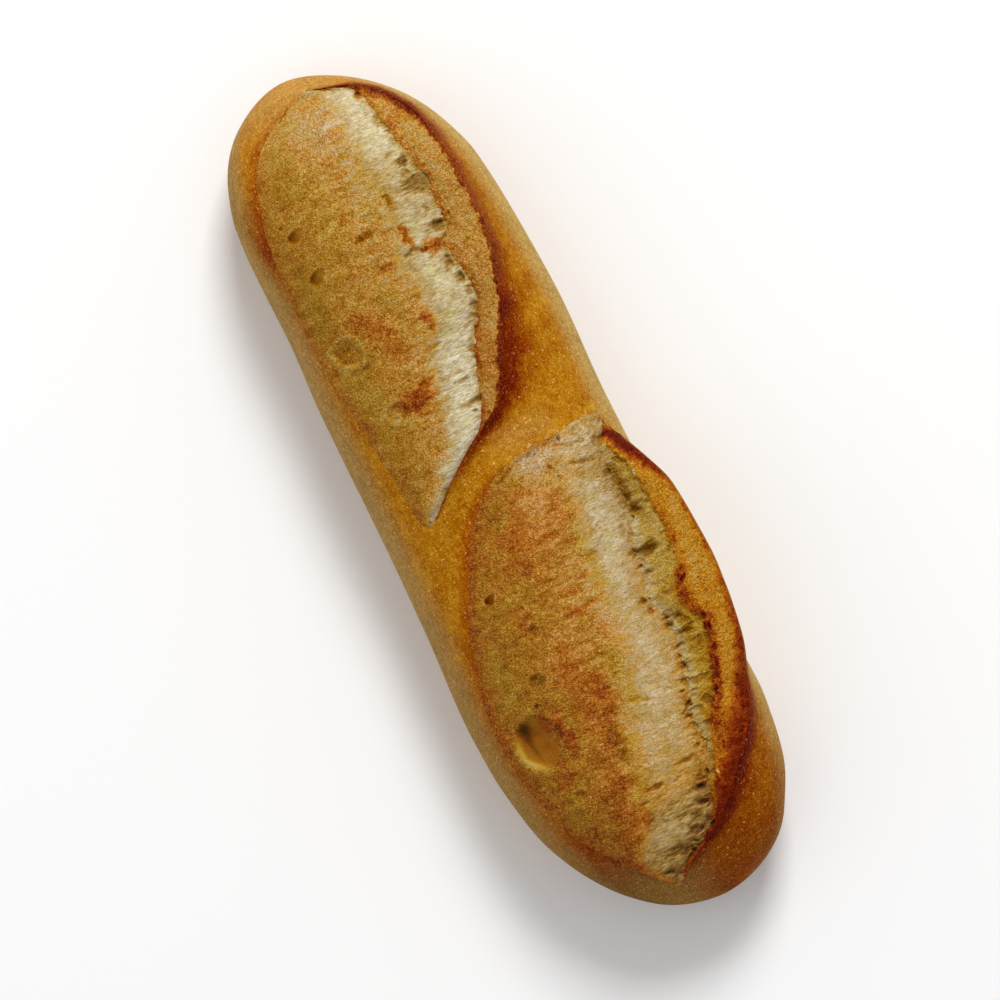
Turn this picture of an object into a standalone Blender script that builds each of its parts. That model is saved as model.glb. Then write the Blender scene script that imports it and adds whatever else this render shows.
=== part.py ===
"""Semolina hoagie roll, one loaf of bread as one solid.

The loaf lies along X and rests on its flat sole at Z = 0. Two long slashes run slantwise
over its crown. Each slash has opened into a bloom: a seam on the -Y side where the crust
tore, a swelling of new crust, a pale torn band, a crevice, and a lifted ear of crust whose
crest stands over the +Y side. Sizes are worked out in millimetres and built in metres.
"""

import math

import bmesh
import bpy
import numpy as np

MM = 0.001

# Driving dimensions of the loaf, in millimetres.
LENGTH = 250.0
CROWN = 53.0  # height of the top above the sole
WAIST = 20.0  # height of the widest line
NOSE = 21.0  # height of the two end points
SOLE_WIDTH = 0.70  # width of the flat sole over the width of the loaf
SOLE_END = 106.0  # the sole is flat between -SOLE_END and SOLE_END
ROUNDNESS = 2.25  # exponent of the section's curve, 2 being an ellipse
EAR_FOOT = 0.92  # how far out an ear can spring from, over the half width

# Plan outline: the widest line on the -Y side and on the +Y side, as (x, y).
OUTLINE_LOW = (
    (-125, -4), (-122, -15.4), (-116.5, -23), (-111, -27.3), (-105.5, -30), (-95, -33),
    (-84, -33.9), (-62, -34.3), (-41, -35.8), (2, -37.1), (24, -38.2), (56, -40.3),
    (67, -40.1), (78, -38.9), (88.5, -36.9), (99.5, -32.6), (110, -26), (115.5, -21),
    (121, -14), (125, 1.5),
)
OUTLINE_HIGH = (
    (-125, -4), (-122, 7.3), (-116.5, 15.8), (-111, 21.6), (-105.5, 26), (-95, 31.3),
    (-84, 34.5), (-62, 36.2), (-41, 36.7), (-9, 35.1), (24, 34.8), (60, 35.4),
    (78, 35.5), (88.5, 34.4), (99.5, 32.1), (110, 27), (115.5, 23.3), (121, 16.5),
    (125, 1.5),
)
# Height of the crown along the loaf, as a share of CROWN.
CROWN_LINE = (
    (-125, 0.40), (-123, 0.53), (-118, 0.67), (-110, 0.80), (-98, 0.91), (-80, 0.975),
    (-40, 1.0), (0, 0.975), (40, 1.0), (75, 0.985), (95, 0.92), (108, 0.81),
    (117, 0.67), (122.5, 0.53), (125, 0.40),
)

# The lines of each slash in plan, as (x, y): the outer seam, the edge of the torn band,
# the crevice under the ear and the ear's crest; then the ear's rise over the loaf.
SLASHES = (
    {
        "seam": (
            (-121, 1), (-118, -5), (-112, -15), (-103, -22), (-90, -26), (-60, -29),
            (-48, -29.3), (-20, -26.5), (2, -25.3),
        ),
        "band": (
            (-121, 1.1), (-119, 2.6), (-115, 6), (-100, 5.5), (-75, 6), (-66, 3), (-46, 3.5),
            (-43, 0), (-30, -3.5), (-20, -6), (-10, -14), (2, -25),
        ),
        "crevice": (
            (-121, 1.2), (-119, 3.2), (-117, 7.4), (-113, 13.2), (-110, 14.5), (-85, 18),
            (-50, 16.3), (-42, 12), (-30, 6.2), (-18, 0.8), (-8, -12), (2, -24.8),
        ),
        "crest": (
            (-121, 1.4), (-119, 3.8), (-117, 9.4), (-115, 14), (-110, 19.5), (-100, 25),
            (-80, 27.3), (-60, 26), (-50, 23), (-40, 18.6), (-30, 13.7), (-20, 7), (-14, -3),
            (-5, -16), (2, -24.3),
        ),
        "ear_rise": (
            (-121, 0), (-117, 0.6), (-112, 2.8), (-98, 6.0), (-75, 7.4), (-55, 7.2),
            (-30, 5.4), (-14, 2.8), (2, 0),
        ),
    },
    {
        "seam": (
            (-6.5, 9), (-4.5, 0), (-1, -7), (7, -14.5), (18, -21.5), (33, -28.5),
            (50, -33), (66, -34), (82, -31), (97, -25), (110, -14.5), (118, -7.5),
        ),
        "band": (
            (-6.5, 20), (15, 14), (45, 8), (60, 5), (75, -1.5), (90, -6.5), (105, -9.5),
            (118, -7.2),
        ),
        "crevice": (
            (-6.5, 30.2), (-3, 29.8), (0, 27.8), (4, 25.8), (20, 26), (30, 22), (45, 18.5),
            (52, 20.5), (60, 20), (70, 17), (80, 14.5), (88, 13.6), (95, 10.6), (104, 7),
            (109, 1), (118, -6.9),
        ),
        "crest": (
            (-6.5, 31.2), (-1, 31.2), (2, 32.8), (10, 36.4), (20, 39.5), (40, 40.3), (60, 38),
            (66, 36.7), (75, 33), (85, 28.5), (95, 20), (104, 11), (110, 1.5), (118, -6.6),
        ),
        "ear_rise": (
            (-6.5, 0), (-3, 0.3), (0, 2.0), (8, 7.6), (20, 12.2), (50, 12.4), (62, 10.8),
            (75, 7.6), (95, 4.6), (110, 2.6), (118, 0),
        ),
    },
)
# The second slash opens abruptly: a short torn edge across the loaf at this X.
TORN_EDGE_X = -6.0
TORN_EDGE_Y = (4.0, 30.0)

SEAM_DEPTH = 0.8
SEAM_RIDGE = 0.25  # the crust curls up this far beside the seam
BLOOM_RISE = 2.3
CREVICE_DEPTH = 2.4

# Burst bubbles and craters in the crust: x, y, half length, half width, depth.
PITS = (
    (-85.5, -19.5, 2.4, 2.6, 2.0), (-73.0, -19.3, 2.6, 2.4, 2.0),
    (-51.0, -22.0, 4.2, 3.6, 1.5), (-30.0, -17.5, 3.2, 2.6, 1.3),
    (25.0, -18.5, 2.0, 2.0, 1.6), (65.3, -25.0, 7.0, 5.5, 2.2),
    (49.5, -17.0, 2.0, 2.0, 0.8), (83.0, -20.0, 2.2, 2.2, 0.9),
    (-83.0, 17.0, 3.2, 2.2, 1.5), (14.0, 26.5, 8.0, 1.6, 1.5),
    (33.0, 23.5, 2.4, 2.0, 1.4), (46.0, 18.5, 2.6, 1.6, 1.2),
)

# Rings along the loaf, and columns around one ring: half of the sole, one flank, the top.
RINGS = 98
SOLE_COLUMNS = 3
FLANK_COLUMNS = 5
TOP_COLUMNS = 42
COLUMNS = 2 * (SOLE_COLUMNS + FLANK_COLUMNS) + TOP_COLUMNS


def smooth_curve(points, x):
    """Monotone cubic curve through the points, held level past both ends."""
    px, py = np.array(points, float).T
    step = np.diff(px)
    slope = np.diff(py) / step
    tangent = np.concatenate((slope[:1], np.zeros(len(px) - 2), slope[-1:]))
    for i in range(1, len(px) - 1):
        if slope[i - 1] * slope[i] > 0:
            a, b = 2 * step[i] + step[i - 1], step[i] + 2 * step[i - 1]
            tangent[i] = (a + b) / (a / slope[i - 1] + b / slope[i])
    x = np.clip(x, px[0], px[-1])
    i = np.clip(np.searchsorted(px, x, side="right") - 1, 0, len(step) - 1)
    t = (x - px[i]) / step[i]
    return (
        (1 + 2 * t) * (1 - t) ** 2 * py[i]
        + t * (1 - t) ** 2 * step[i] * tangent[i]
        + t * t * (3 - 2 * t) * py[i + 1]
        + t * t * (t - 1) * step[i] * tangent[i + 1]
    )


def fade(value, low, high):
    """Smooth step from 0 at low to 1 at high."""
    t = np.clip((value - low) / (high - low), 0.0, 1.0)
    return t * t * (3 - 2 * t)


def bell(value, width):
    return np.exp(-((value / width) ** 2))


def turn(x):
    """The position along the loaf as an angle from 0 to 1, which rounds the ends."""
    return np.arccos(np.clip(-2 * np.asarray(x, float) / LENGTH, -1, 1)) / math.pi


def along_turn(points, x):
    """A curve that leaves the two end points squarely, like the side of a circle."""
    return smooth_curve([(float(turn(px)), py) for px, py in points], turn(x))


def amount(slash, x):
    """How far a slash is open at x: 0 where its seam meets its crest."""
    gap = smooth_curve(slash["crest"], x) - smooth_curve(slash["seam"], x)
    first, last = slash["seam"][0][0], slash["seam"][-1][0]
    opening = 2.5 if first > -20 else 5.0
    return fade(gap, 0.0, 13.0) * fade(x, first, first + opening) * fade(last - x, 0.0, 5.0)


def ring_positions():
    """X of every ring, closer together at the ends and at the torn edge."""
    t = np.linspace(0.0, 1.0, 4001)
    x = -0.5 * LENGTH * np.cos(math.pi * t)
    crowd = np.sin(math.pi * t) ** 0.72 + 0.10
    crowd = crowd * (1 + 1.3 * bell(x - TORN_EDGE_X, 5.0))
    total = np.concatenate(([0.0], np.cumsum(0.5 * (crowd[1:] + crowd[:-1]))))
    return np.interp(np.linspace(0.0, total[-1], RINGS + 1), total, x)


def section(x):
    """The plain loaf's section at x: its upper arch and one flank as dense (y, z) lines."""
    low, high = along_turn(OUTLINE_LOW, x), along_turn(OUTLINE_HIGH, x)
    middle, half = 0.5 * (low + high), 0.5 * (high - low)
    top = CROWN * along_turn(CROWN_LINE, x)
    past = max(abs(x) - SOLE_END, 0.0) / (0.5 * LENGTH - SOLE_END)
    sole = NOSE * (1 - math.sqrt(1 - min(past, 1.0) ** 2.4))
    waist = sole + (WAIST - 0.5 * sole) * (1 - past**3) * 0.999 + 0.2
    waist = min(waist, 0.5 * (top + sole))
    angle = np.linspace(0.0, math.pi, 361)
    side, rise = -np.cos(angle), np.sin(angle)
    arch_y = middle + half * np.sign(side) * np.abs(side) ** (2 / ROUNDNESS)
    arch_z = waist + (top - waist) * rise ** (2 / ROUNDNESS)
    quarter = np.linspace(0.0, 0.5 * math.pi, 61)
    flank_out = SOLE_WIDTH + (1 - SOLE_WIDTH) * np.cos(quarter)
    flank_z = sole + (waist - sole) * (1 - np.sin(quarter))
    return middle, half, sole, arch_y, arch_z, flank_out, flank_z


def lumps(x, y):
    """Slight unevenness of a loaf shaped by hand."""
    return (
        0.35 * np.sin(0.061 * x + 0.05 * y + 0.7)
        + 0.28 * np.sin(0.113 * x - 0.09 * y + 2.1)
        + 0.18 * np.sin(0.19 * x + 0.17 * y + 4.0)
    )


def slash_relief(slash, x, half, middle, place, arch_y):
    """Knots of one slash over the arch: place along it, shift outward, rise."""
    open_by = float(amount(slash, x))
    line = {key: float(smooth_curve(slash[key], x)) for key in slash}
    foot = min(line["crest"], middle + EAR_FOOT * half)
    rise = line["ear_rise"]

    def at(y):
        return float(np.interp(y, arch_y, place))

    seam, band, crevice, crest = (
        at(line["seam"]), at(line["band"]), at(line["crevice"]), at(foot)
    )
    lean = (line["crest"] - foot) * open_by
    knots = [
        (seam - 4.5, 0.0, 0.0),
        (seam - 1.7, 0.0, SEAM_RIDGE * open_by),
        (seam, 0.0, -SEAM_DEPTH * open_by),
        (seam + 1.9, 0.0, 0.1 * open_by),
        (seam + 0.5 * (band - seam), 0.0, BLOOM_RISE * open_by),
        (band, 0.0, 0.0),
        (crevice, 0.0, -CREVICE_DEPTH * open_by),
        (crevice + 0.35 * (crest - crevice), 0.25 * lean, 0.5 * rise * open_by),
        (crest, lean, rise * open_by),
        (crest + 1.5, 0.93 * lean, 0.76 * rise * open_by),
        (crest + 5.0, 0.5 * lean, 0.22 * rise * open_by),
        (crest + 11.0, 0.0, 0.0),
    ]
    for i in range(1, len(knots)):
        if knots[i][0] < knots[i - 1][0] + 0.3:
            knots[i] = (knots[i - 1][0] + 0.3, *knots[i][1:])
    return knots, open_by, (seam, crevice, crest)


def ring_points(x):
    """The finished section at x, one (y, z) for each column, starting under the middle."""
    middle, half, sole, arch_y, arch_z, flank_out, flank_z = section(x)
    steps = np.hypot(np.diff(arch_y), np.diff(arch_z))
    place = np.concatenate(([0.0], np.cumsum(steps)))

    crowd = np.ones_like(place)
    reliefs = []
    for slash in SLASHES:
        knots, open_by, lines = slash_relief(slash, x, half, middle, place, arch_y)
        reliefs.append(knots)
        for centre, gain, width in zip(lines, (1.4, 1.1, 2.0), (3.0, 3.5, 3.2)):
            crowd += gain * open_by * bell(place - centre, width)
    total = np.concatenate(([0.0], np.cumsum(0.5 * (crowd[1:] + crowd[:-1]) * steps)))
    arch = np.interp(np.linspace(0.0, total[-1], TOP_COLUMNS + 1), total, place)

    y = np.interp(arch, place, arch_y)
    z = np.interp(arch, place, arch_z)
    shift, rise = np.zeros_like(y), np.zeros_like(y)
    for knots in reliefs:
        shift += smooth_curve([(p, dy) for p, dy, _ in knots], arch)
        rise += smooth_curve([(p, dz) for p, _, dz in knots], arch)
    inside = fade(np.sin(np.pi * arch / place[-1]), 0.0, 0.5)
    ends = float(fade(0.5 * LENGTH - abs(x), 0.0, 12.0))
    rise += lumps(x, y) * inside * ends
    torn = fade(y, TORN_EDGE_Y[0] - 4, TORN_EDGE_Y[0]) * fade(TORN_EDGE_Y[1] - y, -3, 1)
    rise -= 1.1 * bell(x - TORN_EDGE_X, 1.3) * torn
    for px, py, length, width, depth in PITS:
        reach = ((x - px) / length) ** 2 + ((y + shift - py) / width) ** 2
        rise += depth * (0.25 * np.exp(-((np.sqrt(reach) - 1.25) / 0.35) ** 2) - np.exp(-reach))
    top = np.column_stack((y + shift, z + rise))

    pick = np.linspace(0, len(flank_out) - 1, FLANK_COLUMNS + 1)[1:]
    down = np.column_stack(
        (np.interp(pick, range(len(flank_out)), flank_out),
         np.interp(pick, range(len(flank_out)), flank_z))
    )
    plus = np.column_stack((middle + half * down[:, 0], down[:, 1]))
    minus = np.column_stack((middle - half * down[:, 0], down[:, 1]))
    sole_edge = half * SOLE_WIDTH
    parts = np.arange(1, SOLE_COLUMNS) / SOLE_COLUMNS
    sole_minus = np.column_stack((middle - sole_edge * parts, np.full(len(parts), sole)))
    sole_plus = np.column_stack((middle + sole_edge * parts, np.full(len(parts), sole)))
    return np.vstack(
        ([(middle, sole)], sole_minus, minus[::-1], top, plus, sole_plus[::-1])
    )


def make_loaf():
    """A ball of rings and columns whose poles are the loaf's two ends, shaped ring by ring."""
    bm = bmesh.new()
    bmesh.ops.create_uvsphere(bm, u_segments=COLUMNS, v_segments=RINGS, radius=1.0)
    places = ring_positions()
    rings = {}
    for vert in bm.verts:
        ring = round(math.acos(max(-1.0, min(1.0, vert.co.z))) / math.pi * RINGS)
        column = round(math.atan2(vert.co.y, vert.co.x) / math.tau * COLUMNS) % COLUMNS
        x = float(places[ring])
        if ring in (0, RINGS):
            y, z = float(along_turn(OUTLINE_LOW, x)), NOSE
        else:
            if ring not in rings:
                rings[ring] = ring_points(x)
            y, z = rings[ring][column]
        vert.co = (x * MM, y * MM, z * MM)
    bmesh.ops.recalc_face_normals(bm, faces=bm.faces)
    mesh = bpy.data.meshes.new("roll")
    bm.to_mesh(mesh)
    bm.free()
    mesh.shade_smooth()
    roll = bpy.data.objects.new("roll", mesh)
    bpy.context.scene.collection.objects.link(roll)
    return roll


def make_crust():
    crust = bpy.data.materials.new("baked crust")
    crust.use_nodes = True
    shader = crust.node_tree.nodes["Principled BSDF"]
    shader.inputs["Base Color"].default_value = (0.42, 0.20, 0.045, 1.0)
    shader.inputs["Roughness"].default_value = 0.55
    shader.inputs["Metallic"].default_value = 0.0
    return crust


for old in list(bpy.data.objects):
    bpy.data.objects.remove(old)
make_loaf().data.materials.append(make_crust())
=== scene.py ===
import math

import bmesh
import bpy
import numpy as np
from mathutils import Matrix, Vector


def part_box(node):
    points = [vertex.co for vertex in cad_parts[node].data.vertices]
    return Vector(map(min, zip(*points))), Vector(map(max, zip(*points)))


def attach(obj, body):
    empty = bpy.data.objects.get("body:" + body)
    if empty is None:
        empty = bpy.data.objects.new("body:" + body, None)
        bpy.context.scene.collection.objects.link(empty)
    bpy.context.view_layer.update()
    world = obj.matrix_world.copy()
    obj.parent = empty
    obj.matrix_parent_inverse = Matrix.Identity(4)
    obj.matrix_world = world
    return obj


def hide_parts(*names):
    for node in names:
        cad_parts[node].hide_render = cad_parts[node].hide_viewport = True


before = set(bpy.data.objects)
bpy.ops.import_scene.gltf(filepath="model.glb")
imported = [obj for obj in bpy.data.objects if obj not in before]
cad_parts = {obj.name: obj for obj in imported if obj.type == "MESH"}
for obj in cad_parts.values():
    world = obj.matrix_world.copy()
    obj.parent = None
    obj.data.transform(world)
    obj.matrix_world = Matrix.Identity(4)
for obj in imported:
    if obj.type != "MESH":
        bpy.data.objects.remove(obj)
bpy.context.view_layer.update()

# ---------------------------------------------------------------------------------------
# The crust: the baked outside of the loaf, from its flat sole up over both flanks, with a
# sunken trough under each opened slash and a thin lifted lip along each ear. It is one
# closed ball of rings and columns, laid over the loaf's sections.

MM = 0.001
low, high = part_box("roll")
LENGTH = (high.x - low.x) / MM
CROWN = 0.9396 * (high.z - low.z) / MM  # top of the plain loaf, under the swollen blooms
WAIST = 0.36 * CROWN  # height of the widest line
NOSE = 0.4 * CROWN  # height of the two end points
SOLE_WIDTH = 0.70  # the flat sole's width over the loaf's
SOLE_END = 0.848 * LENGTH / 2  # where the sole starts to lift towards the two ends
ROUNDNESS = 2.25  # of the upper half in section, where 2 is an ellipse
EAR_FOOT = 0.92  # how far out an ear can spring from, over the half width

# The widest line in plan on the -Y and the +Y side, then the crown's height over CROWN.
OUTLINE_LOW = (
    (-125, -4), (-122, -15.4), (-116.5, -23), (-111, -27.3), (-105.5, -30), (-95, -33),
    (-84, -33.9), (-62, -34.3), (-41, -35.8), (2, -37.1), (24, -38.2), (56, -40.3), (67, -40.1),
    (78, -38.9), (88.5, -36.9), (99.5, -32.6), (110, -26), (115.5, -21), (121, -14), (125, 1.5),
)
OUTLINE_HIGH = (
    (-125, -4), (-122, 7.3), (-116.5, 15.8), (-111, 21.6), (-105.5, 26), (-95, 31.3), (-84, 34.5),
    (-62, 36.2), (-41, 36.7), (-9, 35.1), (24, 34.8), (60, 35.4), (78, 35.5), (88.5, 34.4),
    (99.5, 32.1), (110, 27), (115.5, 23.3), (121, 16.5), (125, 1.5),
)
CROWN_LINE = (
    (-125, 0.4), (-123, 0.53), (-118, 0.67), (-110, 0.8), (-98, 0.91), (-80, 0.975), (-40, 1),
    (0, 0.975), (40, 1), (75, 0.985), (95, 0.92), (108, 0.81), (117, 0.67), (122.5, 0.53),
    (125, 0.4),
)

# Each slash in plan: seam where the crust tore, edge of the pale torn band, crevice under
# the ear, lip of the ear's toasted face and crest of the ear. Then how far the ear stands
# over the plain loaf, how brown the skin is from the seam to the band, the band's brown, the
# scorch outside the crest (x, width, strength) and how strongly the seam glows.
SLASH_1 = {
    "seam": (
        (-121, 1), (-118, -5), (-115, -10), (-112, -15), (-108, -19), (-103, -22), (-97, -24),
        (-90, -26), (-80, -27.5), (-60, -29), (-48, -29.3), (-20, -26.5), (2, -25.3),
    ),
    "band": (
        (-121, 1.1), (-119, 2.6), (-115, 6), (-100, 5.5), (-90, 6), (-75, 6), (-66, 3), (-55, 4),
        (-46, 3.5), (-43, 0), (-30, -3.5), (-20, -6), (-10, -14), (2, -25),
    ),
    "crevice": (
        (-121, 1.2), (-119, 3.2), (-117, 7.4), (-115.5, 10.8), (-113, 13.2), (-110, 14.5),
        (-100, 15.5), (-85, 18), (-70, 18), (-64, 15.5), (-58, 16), (-50, 16.3), (-42, 12),
        (-35, 8.5), (-30, 6.2), (-18, 0.8), (-8, -12), (2, -24.8),
    ),
    "crest": (
        (-121, 1.4), (-119, 3.8), (-117, 9.4), (-115, 14), (-110, 19.5), (-105, 22.7), (-100, 25),
        (-90, 26.7), (-80, 27.3), (-70, 27), (-60, 26), (-50, 23), (-45, 21.3), (-40, 18.6),
        (-30, 13.7), (-25, 11), (-20, 7), (-14, -3), (-5, -16), (2, -24.3),
    ),
    "rise": (
        (-121, 0), (-117, 0.6), (-112, 2.8), (-98, 6), (-75, 7.4), (-55, 7.2), (-30, 5.4),
        (-14, 2.8), (2, 0),
    ),
    "toast": ((0.0, 0.57), (0.2, 0.56), (0.55, 0.50), (0.85, 0.45), (1.1, 0.41)),
    "brown": (
        (-121, 0.1), (-100, 0.1), (-88, 0.25), (-60, 0.15), (-45, 0.12), (-30, -0.01), (2, -0.05),
    ),
    "scorch": (
        (-121, 1.5, 0.6), (-114, 4, 0.95), (-105, 5.2, 1), (-97, 5.4, 0.85), (-85, 5, 0.62),
        (-60, 5.6, 0.72), (-50, 7, 0.88), (-40, 9.5, 1), (-30, 11.5, 1), (-20, 10.5, 1),
        (-14, 6.5, 0.8), (-8, 3, 0.35), (2, 1, 0.1),
    ),
    "glow": ((-121, 0.5), (-112, 1), (-96, 1.2), (-82, 1), (-70, 0.45), (-40, 0.3), (2, 0.2)),
}
SLASH_2 = {
    "seam": (
        (-6.5, 9), (-4.5, 0), (-3, -4), (-1, -7), (3, -11), (7, -14.5), (12, -18), (18, -21.5),
        (25, -25), (33, -28.5), (42, -31), (50, -33), (58, -34), (68, -34), (75, -33), (82, -31),
        (90, -29), (97, -25), (104, -20), (110, -15.5), (118, -8.2),
    ),
    "band": (
        (-6.5, 20), (3, 18), (15, 14.5), (30, 10.5), (45, 8), (55, 7), (65, 3), (75, -1.5),
        (90, -6.8), (99, -9.5), (106, -12.8), (112, -12.6), (118, -8),
    ),
    "crevice": (
        (-6.5, 30.2), (-3, 29.8), (-1, 28.6), (1.5, 26.8), (4, 25.8), (6, 25.5), (20, 26),
        (25, 24), (30, 22), (38, 20.5), (45, 18.5), (52, 20.5), (60, 20), (70, 17), (80, 14.5),
        (84, 14.8), (88, 13.6), (95, 10.6), (100, 9.2), (104, 7), (107, 4), (109, 1), (111, -3),
        (113, -6), (118, -7.6),
    ),
    "lip": (
        (-6.5, 30.2), (-3, 29.8), (-1, 28.9), (4, 29.6), (10, 31.4), (20, 32.5), (35, 32),
        (42, 30), (47, 27), (52, 28), (56, 30.3), (60, 29.5), (65, 27.5), (70, 26), (75, 23.5),
        (80, 20.4), (84, 18.2), (88, 16.6), (95, 13.2), (100, 11.4), (104, 9), (107, 6), (109, 3),
        (111, -1.2), (113, -4.6), (118, -7.2),
    ),
    "crest": (
        (-6.5, 31.2), (-3, 31), (-1, 31.2), (2, 32.8), (5, 34.2), (10, 36.4), (20, 39.5),
        (30, 40.1), (40, 40.3), (50, 39.5), (60, 38), (66, 36.7), (75, 33), (80, 31), (85, 28.5),
        (90, 25), (95, 20), (100, 15.4), (104, 11), (107, 7), (110, 1.5), (113, -3.5), (118, -7),
    ),
    "rise": (
        (-6.5, 0), (-3, 0.3), (0, 2), (8, 7.6), (20, 12.2), (50, 12.4), (62, 10.8), (75, 7.6),
        (95, 4.6), (110, 2.6), (118, 0),
    ),
    "toast": ((0.0, 0.62), (0.2, 0.62), (0.55, 0.58), (0.85, 0.51), (1.1, 0.42)),
    "brown": (
        (-6, 0.23), (8, 0.26), (16, 0.21), (30, 0.18), (45, 0.21), (62, 0.22), (75, 0.25),
        (90, 0.37), (96, 0.42), (104, 0.34), (112, 0.42), (118, 0.34),
    ),
    "scorch": (
        (-7, 1.2, 0), (-3, 1.5, 0.05), (-1.5, 1.8, 0.4), (0, 2.2, 0.9), (9, 2.6, 0.9),
        (14, 2.2, 0.8), (22, 1.6, 0.45), (45, 1.8, 0.5), (60, 2.4, 0.65), (75, 3.6, 0.8),
        (85, 6, 0.95), (100, 6.5, 1), (108, 5.5, 0.85), (113, 2.6, 0.4), (118, 1.5, 0.2),
    ),
    "glow": ((-7, 0.2), (0, 0.9), (20, 1), (46, 0.75), (66, 0.6), (100, 0.4), (118, 0.3)),
}
TORN_EDGE_X = -6.0  # the second slash starts along this line across the loaf


def smooth_curve(points, x):
    """Monotone cubic curve through the points, held level past both ends."""
    px, py = np.array(points, float).T
    step = np.diff(px)
    slope = np.diff(py) / step
    tangent = np.concatenate((slope[:1], np.zeros(len(px) - 2), slope[-1:]))
    for i in range(1, len(px) - 1):
        if slope[i - 1] * slope[i] > 0:
            a, b = 2 * step[i] + step[i - 1], step[i] + 2 * step[i - 1]
            tangent[i] = (a + b) / (a / slope[i - 1] + b / slope[i])
    x = np.clip(x, px[0], px[-1])
    i = np.clip(np.searchsorted(px, x, side="right") - 1, 0, len(step) - 1)
    t = (x - px[i]) / step[i]
    return (
        (1 + 2 * t) * (1 - t) ** 2 * py[i]
        + t * (1 - t) ** 2 * step[i] * tangent[i]
        + t * t * (3 - 2 * t) * py[i + 1]
        + t * t * (t - 1) * step[i] * tangent[i + 1]
    )


def held(value):
    """The value, held between 0 and 1."""
    return np.clip(value, 0.0, 1.0)


def fade(value, start, end):
    """Smooth step from 0 at start to 1 at end."""
    t = held((value - start) / (end - start))
    return t * t * (3 - 2 * t)


def bell(value, width):
    return np.exp(-((value / width) ** 2))


HUMPS_TILE, CELLS_TILE = 256, 64  # unit squares after which a pattern comes again


def humps(u, v, seed):
    """Smooth noise, about -1 to 1, with one hump or hollow for each unit square."""
    angle = np.random.default_rng(seed).random((HUMPS_TILE, HUMPS_TILE)) * math.tau
    east, north = np.cos(angle), np.sin(angle)
    i, j = np.floor(u).astype(int), np.floor(v).astype(int)
    a, b = u - i, v - j

    def pull(di, dj):
        spot = (i + di) % HUMPS_TILE, (j + dj) % HUMPS_TILE
        return east[spot] * (a - di) + north[spot] * (b - dj)

    s, t = a * a * (3 - 2 * a), b * b * (3 - 2 * b)
    near = pull(0, 0) * (1 - s) + pull(1, 0) * s
    far = pull(0, 1) * (1 - s) + pull(1, 1) * s
    return 1.6 * (near * (1 - t) + far * t)


def rough(u, v, seed, octaves=3):
    """Noise, about -1 to 1, that holds ever finer humps."""
    return sum(
        0.55**k * humps(u * 2.1**k + 7.3 * k, v * 2.1**k, seed + k) for k in range(octaves)
    )


def cells(u, v, seed):
    """Scattered points, one for each unit square: how far the nearest is, how much farther
    the next one is, and the nearest one's own number from 0 to 1."""
    table = np.random.default_rng(seed).random((CELLS_TILE, CELLS_TILE, 3))
    i, j = np.floor(u).astype(int), np.floor(v).astype(int)
    first, second, tag = np.full(u.shape, 9.0), np.full(u.shape, 9.0), np.zeros(u.shape)
    for di in (-1, 0, 1):
        for dj in (-1, 0, 1):
            spot = table[(i + di) % CELLS_TILE, (j + dj) % CELLS_TILE]
            away = np.hypot(i + di + spot[..., 0] - u, j + dj + spot[..., 1] - v)
            tag = np.where(away < first, spot[..., 2], tag)
            second = np.minimum(second, np.maximum(first, away))
            first = np.minimum(first, away)
    return first, second - first, tag


def along_turn(points, x):
    """A curve that leaves the loaf's two end points squarely, as a circle's side does."""
    def turn(at):
        return np.arccos(np.clip(-2 * np.asarray(at, float) / LENGTH, -1, 1)) / math.pi

    return smooth_curve([(float(turn(px)), py) for px, py in points], turn(x))


def section(x):
    """Middle, half width, sole height, waist height and top height of the loaf at x."""
    left, right = along_turn(OUTLINE_LOW, x), along_turn(OUTLINE_HIGH, x)
    top = CROWN * along_turn(CROWN_LINE, x)
    past = held((np.abs(x) - SOLE_END) / (0.5 * LENGTH - SOLE_END))
    sole = NOSE * (1 - np.sqrt(1 - past**2.4))
    waist = sole + (WAIST - 0.5 * sole) * (1 - past**3) * 0.999 + 0.2
    return (left + right) / 2, (right - left) / 2, sole, np.minimum(waist, (top + sole) / 2), top


def crown_height(x, y):
    """Height of the plain loaf over a place in plan."""
    middle, half, sole, waist, top = section(x)
    out = held(np.abs(y - middle) / half)
    return waist + (top - waist) * (1 - out**ROUNDNESS) ** (1 / ROUNDNESS)


def lumps(x, y):
    """Slight unevenness of a loaf shaped by hand."""
    return (
        0.35 * np.sin(0.061 * x + 0.05 * y + 0.7)
        + 0.28 * np.sin(0.113 * x - 0.09 * y + 2.1)
        + 0.18 * np.sin(0.19 * x + 0.17 * y + 4.0)
    )


def opened(slash, x):
    """How far a slash is open at x: 0 where its seam meets its crest."""
    gap = smooth_curve(slash["crest"], x) - smooth_curve(slash["seam"], x)
    first, last = slash["seam"][0][0], slash["seam"][-1][0]
    start = 2.5 if slash is SLASH_2 else 5.0  # the second slash opens sooner
    return fade(gap, 0.0, 13.0) * fade(x, first, first + start) * fade(last - x, 0.0, 5.0)


def ear_foot(slash, x):
    """Where on the plain loaf the crest springs from, and how far it leans past that."""
    middle, half = section(x)[:2]
    crest = smooth_curve(slash["crest"], x)
    foot = np.minimum(crest, middle + EAR_FOOT * half)
    return foot, (crest - foot) * opened(slash, x)


def spaced(count, start, end, crowd):
    """Places from start to end, closer together where crowd is high."""
    t = np.linspace(0.0, 1.0, 4001)
    x = start + (end - start) * 0.5 * (1 - np.cos(math.pi * t))
    weight = (np.sin(math.pi * t) ** 0.72 + 0.04) * crowd(x)
    total = np.concatenate(([0.0], np.cumsum(0.5 * (weight[1:] + weight[:-1]))))
    return np.interp(np.linspace(0.0, total[-1], count + 1), total, x)


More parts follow.
